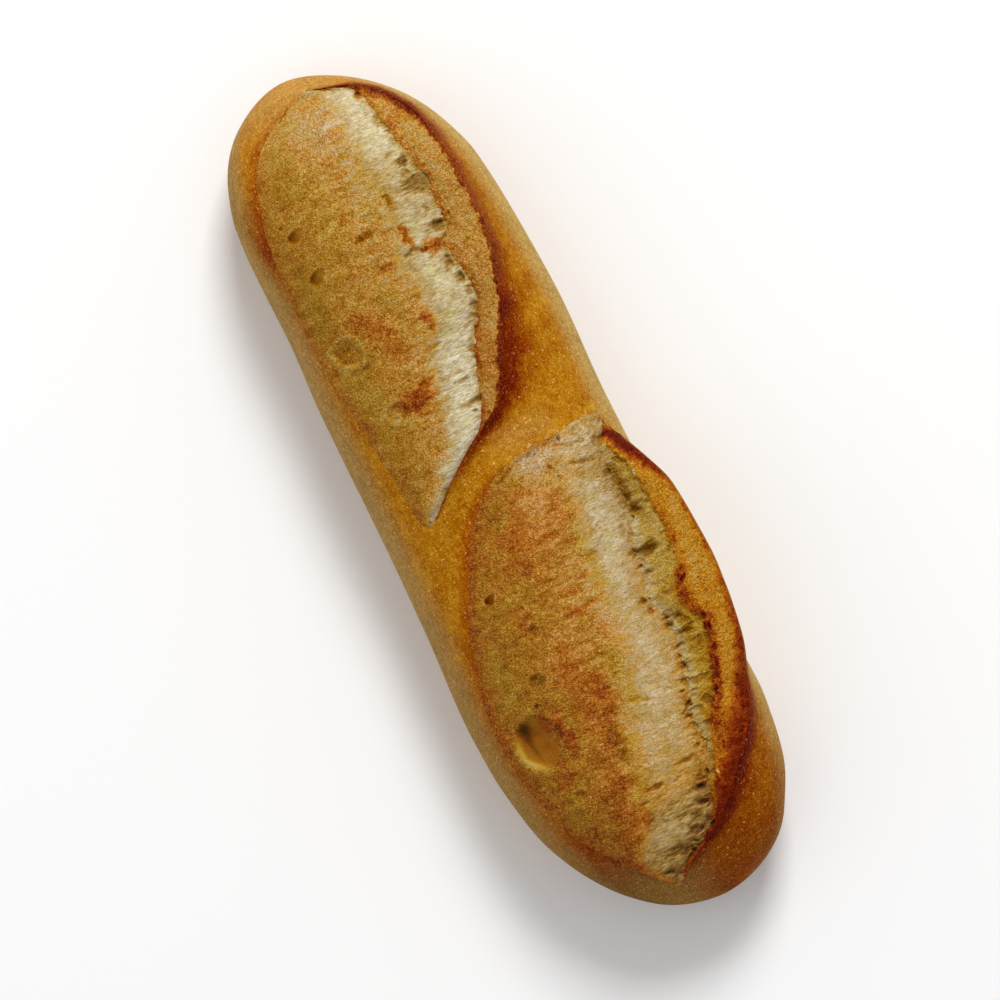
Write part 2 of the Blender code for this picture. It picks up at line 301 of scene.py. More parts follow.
def make_ball(name, rings, columns):
    """A closed ball with its poles at the two ends, and each point's ring and column."""
    bm = bmesh.new()
    bmesh.ops.create_uvsphere(bm, u_segments=columns, v_segments=rings, radius=1.0)
    mesh = bpy.data.meshes.new(name)
    bm.to_mesh(mesh)
    bm.free()
    mesh.shade_smooth()
    piece = bpy.data.objects.new(name, mesh)
    bpy.context.scene.collection.objects.link(piece)
    co = np.zeros(len(mesh.vertices) * 3)
    mesh.vertices.foreach_get("co", co)
    co = co.reshape(-1, 3)
    ring = np.rint(np.arccos(np.clip(co[:, 2], -1, 1)) / math.pi * rings).astype(int)
    column = np.rint(np.arctan2(co[:, 1], co[:, 0]) / math.tau * columns).astype(int)
    return piece, ring, column % columns


def finish_piece(piece, ring, column, x, y, z, bake, material):
    """Lays a ball on its rings of points, stores what the oven did there with the painted
    shade and light, and puts it in the roll's place."""
    mesh = piece.data
    points = np.stack((x, y, z), axis=-1)[ring, column] * MM
    mesh.vertices.foreach_set("co", points.ravel())
    layer = mesh.attributes.new("bake", "FLOAT_COLOR", "POINT")
    layer.data.foreach_set("color", np.stack(bake, axis=-1)[ring, column].ravel())
    mesh.update()
    bm = bmesh.new()
    bm.from_mesh(mesh)
    bmesh.ops.recalc_face_normals(bm, faces=bm.faces)
    bm.to_mesh(mesh)
    bm.free()
    mesh.materials.append(material)
    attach(piece, "root")
    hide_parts("roll")


def crust_knots(slash, x, place, arch_y):
    """Knots of the crust beside one slash: place along the arch, shift outward, rise."""
    amount = float(opened(slash, x - 0.9 if slash is SLASH_2 else x))
    seam = float(smooth_curve(slash["seam"], x))
    foot, lean = (float(value) for value in ear_foot(slash, x))
    rise = float(smooth_curve(slash["rise"], x)) * amount
    seam, crest = (float(np.interp(at, arch_y, place)) for at in (seam, foot))
    width = max(crest - seam, 0.6)
    inner = min(2.6, 0.25 * width)
    knots = [
        (seam - 5.0, 0.0, 0.0),
        (seam - 1.2, 0.0, -0.05 * amount),
        (seam + 0.3, 0.0, -0.40 * amount),
        (seam + inner, 0.0, -3.6 * amount),
        (seam + 0.5 * width, 0.2 * lean, -8.0 * amount),
        (crest - max(inner, 0.1 * width), 0.5 * lean, -5.0 * amount),
        (crest - 1.1, 0.86 * lean, rise - 2.6 * amount),
        (crest - 0.3, 0.96 * lean, rise - 0.45 * amount),
        (crest + 0.3, lean, rise),
        (crest + 1.5, 0.93 * lean, 0.76 * rise),
        (crest + 5.0, 0.50 * lean, 0.22 * rise),
        (crest + 11.0, 0.0, 0.0),
    ]
    for i in range(1, len(knots)):
        if knots[i][0] < knots[i - 1][0] + 0.2:
            knots[i] = (knots[i - 1][0] + 0.2, *knots[i][1:])
    return knots, amount, (seam, crest)


CRUST_RINGS, TOP_COLUMNS, FLANK_COLUMNS, SOLE_COLUMNS = 500, 150, 16, 7
CRUST_COLUMNS = TOP_COLUMNS + 2 * (FLANK_COLUMNS + SOLE_COLUMNS)
ARCH_STEPS = 720  # points on which the top's columns are spaced
# How much denser the columns stand at a seam and at a crest, and over what reach.
SEAM_CROWD, SEAM_REACH = 1.6, 3.0
CREST_CROWD, CREST_REACH = 4.5, 1.9


def crust_ring(x):
    """One ring of the crust, from under its middle round to there again: y, z, and how far
    each point lies past the two seams and the two crests."""
    middle, half, sole, waist, top = (float(value) for value in section(x))
    angle = np.linspace(0.0, math.pi, ARCH_STEPS + 1)
    side, up = -np.cos(angle), np.sin(angle)
    arch_y = middle + half * np.sign(side) * np.abs(side) ** (2 / ROUNDNESS)
    arch_z = waist + (top - waist) * up ** (2 / ROUNDNESS)
    steps = np.hypot(np.diff(arch_y), np.diff(arch_z))
    place = np.concatenate(([0.0], np.cumsum(steps)))
    crowd = np.ones_like(place)
    reliefs, lines = [], []
    for slash in (SLASH_1, SLASH_2):
        knots, amount, (seam, crest) = crust_knots(slash, x, place, arch_y)
        reliefs.append(knots)
        lines += [seam, crest]
        extra = SEAM_CROWD * bell(place - seam, SEAM_REACH)
        crowd += amount * (extra + CREST_CROWD * bell(place - crest, CREST_REACH))
    total = np.concatenate(([0.0], np.cumsum(0.5 * (crowd[1:] + crowd[:-1]) * steps)))
    arch = np.interp(np.linspace(0.0, total[-1], TOP_COLUMNS + 1), total, place)
    y, z = np.interp(arch, place, arch_y), np.interp(arch, place, arch_z)
    for knots in reliefs:
        y += smooth_curve([(p, shift) for p, shift, _ in knots], arch)
        z += smooth_curve([(p, rise) for p, _, rise in knots], arch)

    quarter = np.linspace(0.0, 0.5 * math.pi, FLANK_COLUMNS + 1)[1:]
    flat = SOLE_WIDTH * (1 - 0.8 * float(fade(abs(x), 78.0, 120.0)))
    out = half * (flat + (1 - flat) * np.cos(quarter))
    down = sole + (waist - sole) * (1 - np.sin(quarter))
    flat_y = half * flat * np.arange(1, SOLE_COLUMNS) / SOLE_COLUMNS
    flat_z = np.full(len(flat_y), sole)
    side_y, side_z = np.append(out, flat_y[::-1]), np.append(down, flat_z)
    before, after = -np.cumsum(np.ones(len(side_y)))[::-1], arch[-1] + 1 + np.arange(len(side_y))
    arch = np.concatenate((before[:1], before, arch, after))
    ring_y = np.concatenate(([middle], middle - side_y[::-1], y, middle + side_y))
    ring_z = np.concatenate(([sole], side_z[::-1], z, side_z))
    return np.stack((ring_y, ring_z, *(arch - line for line in lines)))


crust, ring, column = make_ball("crust", CRUST_RINGS, CRUST_COLUMNS)
stations = spaced(
    CRUST_RINGS, -LENGTH / 2, LENGTH / 2, lambda x: 1 + 0.8 * bell(x - TORN_EDGE_X, 5.0)
)
x = np.repeat(stations[:, None], CRUST_COLUMNS, axis=1)
rings = [crust_ring(at) for at in stations[1:-1]]
y, z, past_seam_1, past_crest_1, past_seam_2, past_crest_2 = np.stack(
    (rings[0], *rings, rings[-1]), axis=1
)
for end in (0, -1):
    y[end], z[end] = along_turn(OUTLINE_LOW, stations[end]), NOSE

# Level is 0 at the widest line and 1 on the crown.
middle, half, sole, waist, top = section(x)
level = np.clip((z - waist) / np.maximum(top - waist, 1.0), -1, 1.2)
upper = fade(level, 0.0, 0.5)
z += lumps(x, y) * upper * fade(0.5 * LENGTH - np.abs(x), 0.0, 12.0)
skin = rough(x / 6, y / 6 + z / 8, 11)
z += 0.16 * skin * upper

# Soft stains in the crust: x, y, half length, half width, toast.
STAINS = ((13, -27, 4, 2, 0.05), (1, -17, 5, 4, 0.05), (105, 25, 8, 5, -0.03))


def scorch_of(slash, x):
    """Width and strength of the scorch along a slash's crest."""
    at, width, strength = zip(*slash["scorch"])
    return (smooth_curve(list(zip(at, values)), x) for values in (width, strength))


def scorched(slash, past):
    """How dark the crust is beside a crest: darkest at its edge, and fading out past it."""
    width, strength = scorch_of(slash, x)
    out = past + 0.14 * width * rough(x / 5, y / 5, 31) + 0.5 * rough(x / 1.2, y / 1.2, 32)
    band = 1 - fade(out, -0.1 * width, 1.15 * width)
    halo = 1 - fade(out, 0.0, 2.4 * width)
    return strength * (0.78 * band + 0.22 * halo) * fade(past, -4.0, -2.0) * opened(slash, x)


def seam_glow(slash, past):
    """How strongly the crust glows red-brown where it bends down into a seam."""
    return bell(past + 0.6, 3.0) * smooth_curve(slash["glow"], x) * opened(slash, x)


# What the oven did, with painted shade mixed in: toast from pale 0 to burnt 1, pallor of the
# flanks, redness, and how much a pale place lies on the front, the side painted as shaded.
# Towards the +X end the crust turns browner, and it is paler at the -X end.
scorch = np.maximum(scorched(SLASH_1, past_crest_1), scorched(SLASH_2, past_crest_2))
glow = seam_glow(SLASH_1, past_seam_1) + seam_glow(SLASH_2, past_seam_2)
glow = np.clip(glow, 0, 1.2)
right_end = fade(x, 70.0, 112.0)
toast = 0.51 + 0.20 * right_end - 0.06 * fade(-x, 96, 120) + 0.035 * skin
toast = toast + 0.13 * glow + 0.41 * scorch * (1 - 0.25 * right_end)
browned = bell(x + 88, 8.0) * bell(y + 28.5, 2.6)  # a browner patch by the seam
toast += 0.16 * browned
toast -= 0.06 * bell(x + 7.4, 1.8) * fade(y, -2.0, 6.0)  # paler by the second slash
for px, py, length, width, browner in STAINS:
    toast += browner * bell(x - px, length) * bell(y - py, width)
out = np.where(z < waist, 1.0, np.abs(y - middle) / np.maximum(half, 1.0))
# Painted shade: the front is the shaded side, where the pale band runs wider and takes a shaded
# copy of the pale colour.
front = fade(middle - y, -4.0, 26.0)
pallor_and_shade = fade(out, 0.80 - 0.08 * front, 1.01) * (1 - (0.55 - 0.35 * front) * right_end)
pallor_and_shade = np.maximum(pallor_and_shade, 0.5 * fade(-x, 106.0, 123.0))
bridge = bell(x + 11, 5.0) * fade(y, -4.0, 6.0) * fade(-y, -24.0, -15.0)
pallor_and_shade = np.maximum(pallor_and_shade, 0.30 * bridge)
# Painted shade at the front of the +X end: greyer pale colour and browner toast.
shadow_end = fade(x, 92.0, 116.0) * fade(-y, -10.0, 14.0)
pallor_and_shade = np.maximum(pallor_and_shade, 0.7 * shadow_end)
toast += 0.16 * shadow_end
pallor_and_shade = pallor_and_shade * (1 - 0.9 * held(scorch)) * (1 - 0.7 * browned)
beside_ear = bell(past_crest_2 - 1, 8.0) * fade(past_crest_2, -2, 0) * opened(SLASH_2, x)
pallor_and_shade *= 1 - 0.2 * beside_ear
# Below the widest line the flanks are golden, and browner where they met the baking sheet.
lower = fade(waist - z, -6.0, 12.0)
# The front factors here are painted shade: less pale on the front, and its upper flank browner
# towards +X.
pallor_and_shade = pallor_and_shade * (1 - 0.5 * lower) * (1 - 0.12 * front)
toast += 0.12 * front * fade(out, 0.75, 1.0) * fade(x, 0.0, 60.0) * (1 - lower)
toast = toast - 0.08 * lower + 0.22 * (1 - fade(z - sole, 0.0, 6.0)) * lower
redness = held(0.2 + 0.8 * scorch + 0.75 * glow + 0.35 * fade(-x, 100.0, 118.0))
bake = (toast, pallor_and_shade, redness, front * (1 - 0.8 * lower))


class Wire:
    """An output socket of a material's node, on which arithmetic adds Math nodes."""

    def __init__(self, paint, socket):
        self.paint, self.socket = paint, socket

    def math(self, operation, other):
        return self.paint.node("ShaderNodeMath", {"operation": operation}, {0: self, 1: other})

    def __add__(self, other):
        return self.math("ADD", other)

    def __sub__(self, other):
        return self.math("SUBTRACT", other)

    def __rsub__(self, other):
        return self * -1.0 + other

    def __mul__(self, other):
        return self.math("MULTIPLY", other)

    __radd__, __rmul__ = __add__, __mul__

    def rise(self, start, end):
        """Smooth step from 0 at start to 1 at end."""
        return self.paint.node(
            "ShaderNodeMapRange", {"interpolation_type": "SMOOTHSTEP"},
            {"Value": self, "From Min": start, "From Max": end},
        )


SCREEN_GAMMA = 2.2


class Paint:
    """A material and its nodes. node() adds one node and gives back an output of it."""

    def __init__(self, name, **constants):
        self.material = bpy.data.materials.new(name)
        self.material.use_nodes = True
        self.tree = self.material.node_tree
        self.shader = self.tree.nodes["Principled BSDF"]
        for socket, value in constants.items():
            self.shader.inputs[socket.replace("_", " ")].default_value = value

    def node(self, kind, settings=None, sockets=None, out=0):
        made = self.tree.nodes.new(kind)
        for key, value in (settings or {}).items():
            if key == "stops":
                ramp = made.color_ramp
                while len(ramp.elements) < len(value):
                    ramp.elements.new(1.0)
                for element, stop in zip(ramp.elements, value):
                    element.position, element.color = stop
            else:
                setattr(made, key, value)
        for key, value in (sockets or {}).items():
            if isinstance(value, Wire):
                self.tree.links.new(value.socket, made.inputs[key])
            else:
                made.inputs[key].default_value = value
        return Wire(self, made.outputs[out])

    def feed(self, **sockets):
        for socket, wire in sockets.items():
            self.tree.links.new(wire.socket, self.shader.inputs[socket.replace("_", " ")])

    def vector(self, operation, first, second):
        settings = {"operation": operation}
        return self.node("ShaderNodeVectorMath", settings, {0: first, 1: second})

    def millimetres(self, stretch=(1.0, 1.0, 1.0)):
        """Object coordinates in millimetres, each axis stretched."""
        place = self.node("ShaderNodeTexCoord", out="Object")
        return self.vector("MULTIPLY", place, tuple(value / MM for value in stretch))

    def noise(self, place, scale, detail, roughness):
        """Noise spread to about -1 to 1."""
        sockets = {"Vector": place, "Scale": scale, "Detail": detail, "Roughness": roughness}
        return (self.node("ShaderNodeTexNoise", {}, sockets) - 0.5) * 4.0

    def mix(self, amount, first, second):
        sockets = {0: amount, 6: first, 7: second}
        return self.node("ShaderNodeMix", {"data_type": "RGBA"}, sockets, out=2)

    def ramp(self, stops, place):
        return self.node("ShaderNodeValToRGB", {"stops": stops}, {0: place})

    def baked(self):
        """The four values that finish_piece stored, as separate wires."""
        layer = self.node("ShaderNodeAttribute", {"attribute_name": "bake"}, out="Color")
        parts = [self.node("ShaderNodeSeparateColor", {}, {0: layer}, out=k) for k in range(3)]
        last = self.node("ShaderNodeAttribute", {"attribute_name": "bake"}, out="Alpha")
        return (*parts, last)

    def lighten(self, face, step):
        """Moves all three channels of a colour by one step, as seen on a screen."""
        seen = self.node("ShaderNodeGamma", {}, {0: face, 1: 1 / SCREEN_GAMMA})
        moved = self.vector("MAXIMUM", self.vector("ADD", seen, step), (0.01, 0.01, 0.01))
        return self.node("ShaderNodeGamma", {}, {0: moved, 1: SCREEN_GAMMA})

    def relief(self, height, distance):
        sockets = {"Height": height, "Distance": distance * MM, "Strength": 1.0}
        return self.node("ShaderNodeBump", {}, sockets)


def colour(red, green, blue):
    """A screen colour from 0 to 255 as the light that it stands for."""
    def linear(value):
        value /= 255
        return value / 12.92 if value <= 0.04045 else ((value + 0.055) / 1.055) ** 2.4

    return (linear(red), linear(green), linear(blue), 1.0)


def shades(places, *screen_colours):
    """Stops of a colour ramp, from pale to dark."""
    return tuple((place, colour(*shade)) for place, shade in zip(places, screen_colours))


CRUST_STOPS = (0.00, 0.25, 0.42, 0.56, 0.70, 0.84, 1.00)
BROWNING = shades(
    CRUST_STOPS, (230, 198, 134), (208, 158, 66), (188, 131, 24), (166, 104, 4), (142, 72, 0),
    (118, 44, 0), (88, 16, 0),
)
REDDENING = shades(
    CRUST_STOPS, (232, 190, 134), (210, 150, 66), (190, 118, 24), (164, 90, 2), (144, 60, 0),
    (120, 32, 0), (86, 8, 0),
)

# Smooth baked crust: mottled, with many tiny pale blisters that stand up a little.
baked_crust = Paint("baked_crust", Roughness=0.5, Specular_IOR_Level=0.006)
here = baked_crust.millimetres()
toast_wire, pallor_and_shade_wire, redness_wire, shade_wire = baked_crust.baked()
mottle = baked_crust.noise(here, 0.16, 4.0, 0.6)
freckle = baked_crust.noise(here, 0.62, 4.0, 0.65)
grain = baked_crust.noise(here, 2.2, 3.0, 0.65)


def blisters(scale, start, end, least, most):
    """Scattered round spots, some strong and some missing."""
    sockets = {"Vector": here, "Scale": scale}
    away = baked_crust.node("ShaderNodeTexVoronoi", {}, sockets)
    tag = baked_crust.node("ShaderNodeTexVoronoi", {}, sockets, out=1)
    chance = baked_crust.node("ShaderNodeSeparateColor", {}, {0: tag})
    return (1 - away.rise(start, end)) * chance.rise(least, most)


blister = blisters(0.72, 0.07, 0.34, 0.35, 1.0) + 0.75 * blisters(1.7, 0.10, 0.45, 0.30, 1.0)
depth = toast_wire + 0.06 * mottle + 0.09 * freckle + 0.03 * grain - 0.05 * blister
brown = baked_crust.ramp(BROWNING, depth)
redder = baked_crust.ramp(REDDENING, depth)
cast = (redness_wire + 0.30 * mottle + 0.10 * freckle).rise(-0.2, 1.2)
ruddy = baked_crust.mix(cast, brown, redder)
uneven = (mottle + freckle + 1.2 * grain - 2.0 * blister).rise(-1.6, 1.6)
# Painted light and shade: the pale flanks in a lit copy and a shaded copy of one colour.
bright = baked_crust.mix(uneven, colour(202, 168, 102), colour(168, 132, 60))
shaded = baked_crust.mix(uneven, colour(184, 149, 90), colour(153, 118, 60))
pale = baked_crust.mix(shade_wire, bright, shaded)
paleness = (pallor_and_shade_wire + (0.16 * freckle + 0.26 * mottle) * pallor_and_shade_wire).rise(0.0, 1.0)
skin_face = baked_crust.mix(paleness, ruddy, pale)
spots = 0.55 * blister * (1.05 - 0.8 * toast_wire) * (1 - 0.5 * pallor_and_shade_wire)
speckled = baked_crust.mix(spots, skin_face, colour(224, 172, 92))
step = 0.13 * blister - 0.020 * freckle - (0.11 - 0.05 * pallor_and_shade_wire) * grain
# Painted shade: pale places that are also well toasted, as at the +X end, turn darker.
step -= 0.35 * pallor_and_shade_wire * (toast_wire - 0.5).math("MAXIMUM", 0.0)
face = baked_crust.lighten(speckled, step)
height = 0.30 * freckle + (0.25 - 0.12 * pallor_and_shade_wire) * grain + 0.8 * blister
baked_crust.feed(
    Base_Color=face,
    Roughness=0.46 + 0.04 * grain + 0.12 * pallor_and_shade_wire,
    Normal=baked_crust.relief(height, 0.25),
)
finish_piece(crust, ring, column, x, y, z, bake, baked_crust.material)

# ---------------------------------------------------------------------------------------
# The blooms: the crumb that swelled out of each slash and set into a matte, pebbled skin.
# Towards the ear it is pale, fibrous crumb, torn last, that drops into the crevice.

BLOOM_RINGS, BLOOM_FRONT = 480, 196  # rings, and columns on the seen face
BACK_COLUMNS = 8  # columns on the hidden back of every torn face
TUCK_FRONT, TUCK_BACK = 2.0, 5.2  # how far a bloom runs on under the crust and the ear
SWELL = ((0.0, -0.12), (0.05, 0.35), (0.22, 1.7), (0.42, 2.1), (0.60, 1.5), (0.78, 0.5),
         (0.92, -0.5), (1.0, -1.1))  # from the seam to the crevice

# Bubbles that burst in the skin, slanting in: x, y, half length, half width, depth, and the
# angle in degrees towards the deep end.
PITS = (
    (-85.6, -19.3, 2.7, 1.9, 2.6, -62), (-73.1, -19.2, 2.9, 2, 2.6, -58),
    (-89.5, -21.8, 0.7, 0.6, 1.2, -40), (-97, -25, 0.8, 0.4, 0.7, -20),
    (-47.5, -26.7, 0.8, 0.6, 0.9, -30), (-52, -20.4, 1.4, 1.1, 0.4, -50),
    (25, -18.5, 1.8, 1.4, 2.8, -50), (49, -17.6, 0.7, 1.5, 0.5, 190),
    (82.2, -21.4, 0.8, 1.3, 0.5, 200), (-61.5, -19.5, 0.7, 0.4, 0.5, 0),
)
# Shallow round dents with a raised rim: x, y, half length, half width, depth.
DENTS = (
    (-51, -21.6, 4.1, 3.9, 1.2), (-30.8, -16.8, 3, 3.2, 1.1), (50.2, -17.4, 2.4, 2.3, 1.2),
    (83.2, -21.4, 2.2, 1.8, 0.8), (38, -12, 2.2, 1.6, 0.5), (-57.5, -18, 2, 2, 0.4),
)
CRATER = (65.3, -24.7, 7.8, 6.6)  # the big one: middle, half length, half width
# Larger holes torn open under each ear: x, y, half length, half width, depth.
HOLES_1 = (
    (-111.8, 13, 1.6, 0.8, 1.2), (-104.5, 14.8, 1.3, 0.5, 1), (-93.5, 12.9, 0.9, 1.4, 1.2),
    (-90.4, 15.6, 1.8, 1.9, 2.4), (-83.2, 16.2, 3.3, 3.3, 2.9), (-87, 14.6, 1.6, 1.2, 1.4),
    (-76, 15.6, 1.2, 1, 1.3), (-70.6, 16, 2.2, 2.4, 2.6), (-60.2, 13.9, 2.2, 1.4, 2.2),
    (-55.3, 14.9, 2.4, 1.2, 2.2), (-51, 15.2, 1.4, 1, 1.8), (-47.5, 14.8, 1.6, 0.9, 1.8),
    (-44.5, 13.6, 1.1, 0.8, 1.3), (-24, 3.6, 1.5, 1.8, 2.2), (-21.7, 1.8, 0.6, 1.1, 1.2),
    (-24.3, 0, 1, 1.2, 0.9),
)
HOLES_2 = (
    (15, 26.6, 8.6, 1.7, 1.1), (21.6, 27.5, 2.6, 1.7, 1.7), (9, 25.8, 3, 1, 0.9),
    (24, 22.3, 0.8, 0.9, 1), (26.8, 23, 0.7, 0.6, 1), (32.6, 25.8, 2.1, 3.6, 3.2),
    (31.4, 21.9, 1.2, 1.5, 1.9), (34.4, 22.8, 0.9, 0.8, 1.4), (36, 21.6, 0.7, 1.2, 1.4),
    (38.2, 22.6, 0.8, 1.5, 1.7), (44.4, 17.8, 0.9, 1.3, 2.2), (47.4, 18.5, 1.8, 1, 1.9),
    (50.8, 21.3, 0.9, 1.2, 1.8), (53.6, 21.6, 1.4, 1.5, 2.1), (51.8, 23.9, 1.8, 1.4, 1.6),
    (56.6, 24.6, 1.2, 2.2, 1.5), (59.3, 21.2, 0.8, 1.8, 2), (61.8, 19.6, 1.3, 0.9, 1.8),
    (64.8, 19.4, 1.6, 0.8, 1.7), (68.2, 17.8, 1.4, 0.9, 1.5), (70.6, 16, 0.7, 1.2, 1.4),
    (74.2, 15.8, 1.2, 1, 1.6), (77.4, 14.8, 1, 1.2, 1.5), (79.6, 14.4, 0.7, 1.2, 1.4),
    (85.3, 12.9, 0.6, 1.4, 1.1), (87.2, 8.3, 1, 3.6, 1.4), (90.8, 4.2, 0.6, 1.5, 1),
    (90, -2, 0.8, 2.6, 1.2), (92.4, -6.4, 0.7, 1.3, 0.8), (95.7, 8.6, 1.5, 2, 1.7),
    (98.6, 6.2, 1.6, 2.6, 1.3), (101.8, 4.4, 2, 2, 1.4), (105, 2.4, 1.6, 2.4, 1.3),
    (107.6, -3.8, 2.2, 4.6, 1.9), (100.5, 0.5, 1.2, 2.6, 0.8), (111.6, -8.8, 2, 1.8, 1.2),
)
# Flaps that hang down from the first ear: x, half width, length.
TONGUES = ((-66.4, 2.2, 3.8), (-61.5, 2.0, 1.2), (-108.0, 3.0, 0.6), (-39.0, 3.0, 1.2),
           (-24.5, 1.4, 1.4))
# Cracks, and folds, whose depth is negative: half width, depth, and the line of each.
CREASES = (
    (0.35, 0.7, ((-119.6, 1.4), (-117.8, 5.0), (-115.6, 9.4))),
    (0.40, 0.6, ((-117.4, -5.6), (-115.2, -8.8))),
    (0.70, 0.8, ((-66.2, 10.0), (-67.8, 7.0), (-66.9, 4.6))),
    (0.60, 0.4, ((-42.4, 1.5), (-41.4, -2.6))),
    (0.60, 0.4, ((-33.0, 3.0), (-33.2, -2.2))),
    (0.60, 0.4, ((-30.4, 3.6), (-30.6, 0.4))),
    (0.60, 0.4, ((-76.6, -1.0), (-76.2, -5.6))),
    (0.60, 0.4, ((-67.4, -0.5), (-67.0, -5.4))),
    (0.30, 0.3, ((-3.9, 30.0), (-3.6, 28.4), (-4.0, 26.6))),
    (0.40, 0.5, ((-1.4, 23.6), (-1.8, 20.4), (-3.4, 17.0), (-5.0, 14.8), (-5.6, 11.0))),
    (0.30, 0.3, ((-6.2, 15.0), (-5.6, 18.4), (-5.0, 21.0))),
    (0.40, 0.6, ((-5.4, 7.4), (-4.4, 5.0), (-3.6, 2.6), (-2.4, 0.6), (-1.8, -2.4))),
    (0.60, 0.5, ((4.4, 23.6), (3.4, 20.8), (2.6, 18.0))),
    (0.35, 0.5, ((0.4, 12.0), (2.8, 13.2))),
    (0.60, 0.4, ((37.2, 9.6), (38.2, 4.0), (38.6, -2.6))),
    (0.60, 0.4, ((30.2, 7.6), (30.8, 5.2))),
    (0.60, 0.4, ((26.6, 12.6), (25.9, 8.0))),
    (0.60, 0.35, ((68.2, 6.6), (66.4, 4.0), (65.8, 0.4))),
    (0.60, 0.25, ((71.6, 5.6), (71.2, 0.8))),
    (0.45, 0.6, ((56.0, -20.4), (56.6, -22.0), (57.2, -20.6))),
    (0.30, 0.3, ((93.6, -22.5), (96.6, -22.3))),
    (0.50, 0.25, ((95.6, 5.0), (96.6, -1.0), (97.6, -4.6))),
    (0.60, -0.6, ((-47.0, -17.4), (-46.8, -21.0), (-48.8, -24.9), (-51.6, -25.6))),
    (0.60, -0.5, ((-27.8, -16.0), (-29.0, -19.4))),
    (0.60, -0.5, ((40.4, -12.4), (44.0, -14.0))),
)


def nudged(x, y, most, size, seed):
    """Places pushed aside a little, so that what is drawn round there turns uneven."""
    east = x + most * rough(x / size, y / size, seed, 2)
    return east, y + most * rough(x / size, y / size, seed + 9, 2)


def dented(x, y, seed):
    """Depth of the shallow dents at each place, and their rims."""
    east, north = nudged(x, y, 0.30, 1.8, seed)
    depth, rim = np.zeros_like(x), np.zeros_like(x)
    for px, py, length, width, deep in DENTS:
        reach = np.hypot((east - px) / length, (north - py) / width)
        depth = np.maximum(depth, deep * (1 - fade(reach, 0.55, 1.08)))
        rim += 0.16 * deep * bell(reach - 1.2, 0.16)
    return depth, rim


def holes_at(x, y):
    """Depth of the holes under the ears at each place: each fades out down its strands."""
    east, north = nudged(x, y, 0.5, 2.6, 70)
    strand = rough(x / 0.8, y / 7, 61, 2)
    depth = np.zeros_like(x)
    for px, py, length, width, deep in HOLES_1 + HOLES_2:
        down = (north - py) / width
        down = np.where(down < 0, 0.72 * down, down)
        reach = np.hypot((east - px) / length, down) + 0.22 * strand * (1 - np.clip(down, -1, 1))
        depth = np.maximum(depth, deep * (1 - fade(reach, 0.05, 1.15)))
    return 0.8 * depth


def pitted(x, y, seed):
    """Depth of the slanting pits at each place, how far inside one it is, 0 to 1, and their
    rims."""
    east, north = nudged(x, y, 0.16, 1.5, seed)
    depth, inside, rim = np.zeros_like(x), np.zeros_like(x), np.zeros_like(x)
    for px, py, length, width, deep, angle in PITS:
        turn = math.radians(angle)
        along = ((east - px) * math.cos(turn) + (north - py) * math.sin(turn)) / length
        across = ((north - py) * math.cos(turn) - (east - px) * math.sin(turn)) / width
        reach = np.hypot(along, across * (1.15 - 0.25 * np.clip(along, -1, 1)))
        cup = 1 - fade(reach, 0.62, 1.04)
        depth = np.maximum(depth, deep * cup * (0.35 + 0.65 * fade(along, -1.0, 0.7)))
        inside = np.maximum(inside, min(deep, 1.8) / 1.8 * cup * fade(along, -1.0, 0.6))
        rim += 0.10 * min(deep, 1.5) * bell(reach - 1.22, 0.16)
    return depth, inside, rim


def cratered(x, y, seed):
    """The big crater: depth, toast with painted shade and light, and share of smooth wall at
    each place. Its floor has a fold and a pocket towards -X, painted darker as shade, and its
    -Y wall has a painted highlight, a pale crescent."""
    px, py, length, width = CRATER
    u = (x - px) / length + 0.04 * rough(x / 3, y / 3, seed)
    v = (y - py) / width + 0.04 * rough(x / 3, y / 3, seed + 1)
    reach = np.hypot(u, v)
    smooth = (1 - fade(reach, 0.80, 1.02)) * (1 - 0.7 * fade(y, -23.5, -19.5))
    fold_y = py - 2.2 + 0.05 * (x - 64) + 0.016 * (x - 64) ** 2
    thick = 1.5 - 0.9 * fade(x, 59.0, 68.0)
    fold = bell((y - fold_y) / thick, 1.0) * fade(x, 57.5, 59.5) * fade(-x, -72.0, -64.0) * smooth
    pocket = bell(np.hypot((x - 60.4) / 2.4, (y + 26.6) / 2.0), 1.0) * smooth
    gentle = 0.25 - 0.25 * fade(v, -0.2, 0.7)
    depth = 2.4 * (1 - fade(reach, gentle, 1.05)) + 0.5 * fold + 0.7 * pocket
    depth -= 0.30 * bell(reach - 1.10, 0.09)
    # Painted highlight on the -Y wall's crescent, painted shade in the pocket and along the fold;
    # browner along the +Y rim and on the floor.
    crescent = bell(reach - 0.84, 0.15) * fade(0.55 * u - v, 0.25, 0.95)
    arc = bell(reach - 1.0, 0.10) * fade(v, 0.10, 0.7)
    toast = 0.14 * pocket + 0.12 * fold - 0.34 * crescent + 0.08 * arc
    toast += 0.07 * (1 - fade(reach, 0.85, 1.05))
    return depth, toast, smooth


def creased(x, y, seed):
    """Depth of the cracks and folds at each place, their lips standing up a little."""
    east = x + 0.45 * rough(x / 1.4, y / 1.4, seed)
    depth = np.zeros_like(x)
    for width, deep, points in CREASES:
        nearest = np.full_like(x, 99.0)
        for (ax, ay), (bx, by) in zip(points, points[1:]):
            dx, dy = bx - ax, by - ay
            t = held(((east - ax) * dx + (y - ay) * dy) / (dx * dx + dy * dy))
            nearest = np.minimum(nearest, np.hypot(east - ax - t * dx, y - ay - t * dy))
        depth += deep * (bell(nearest, width) - 0.35 * bell(nearest - 2.2 * width, width))
    return depth


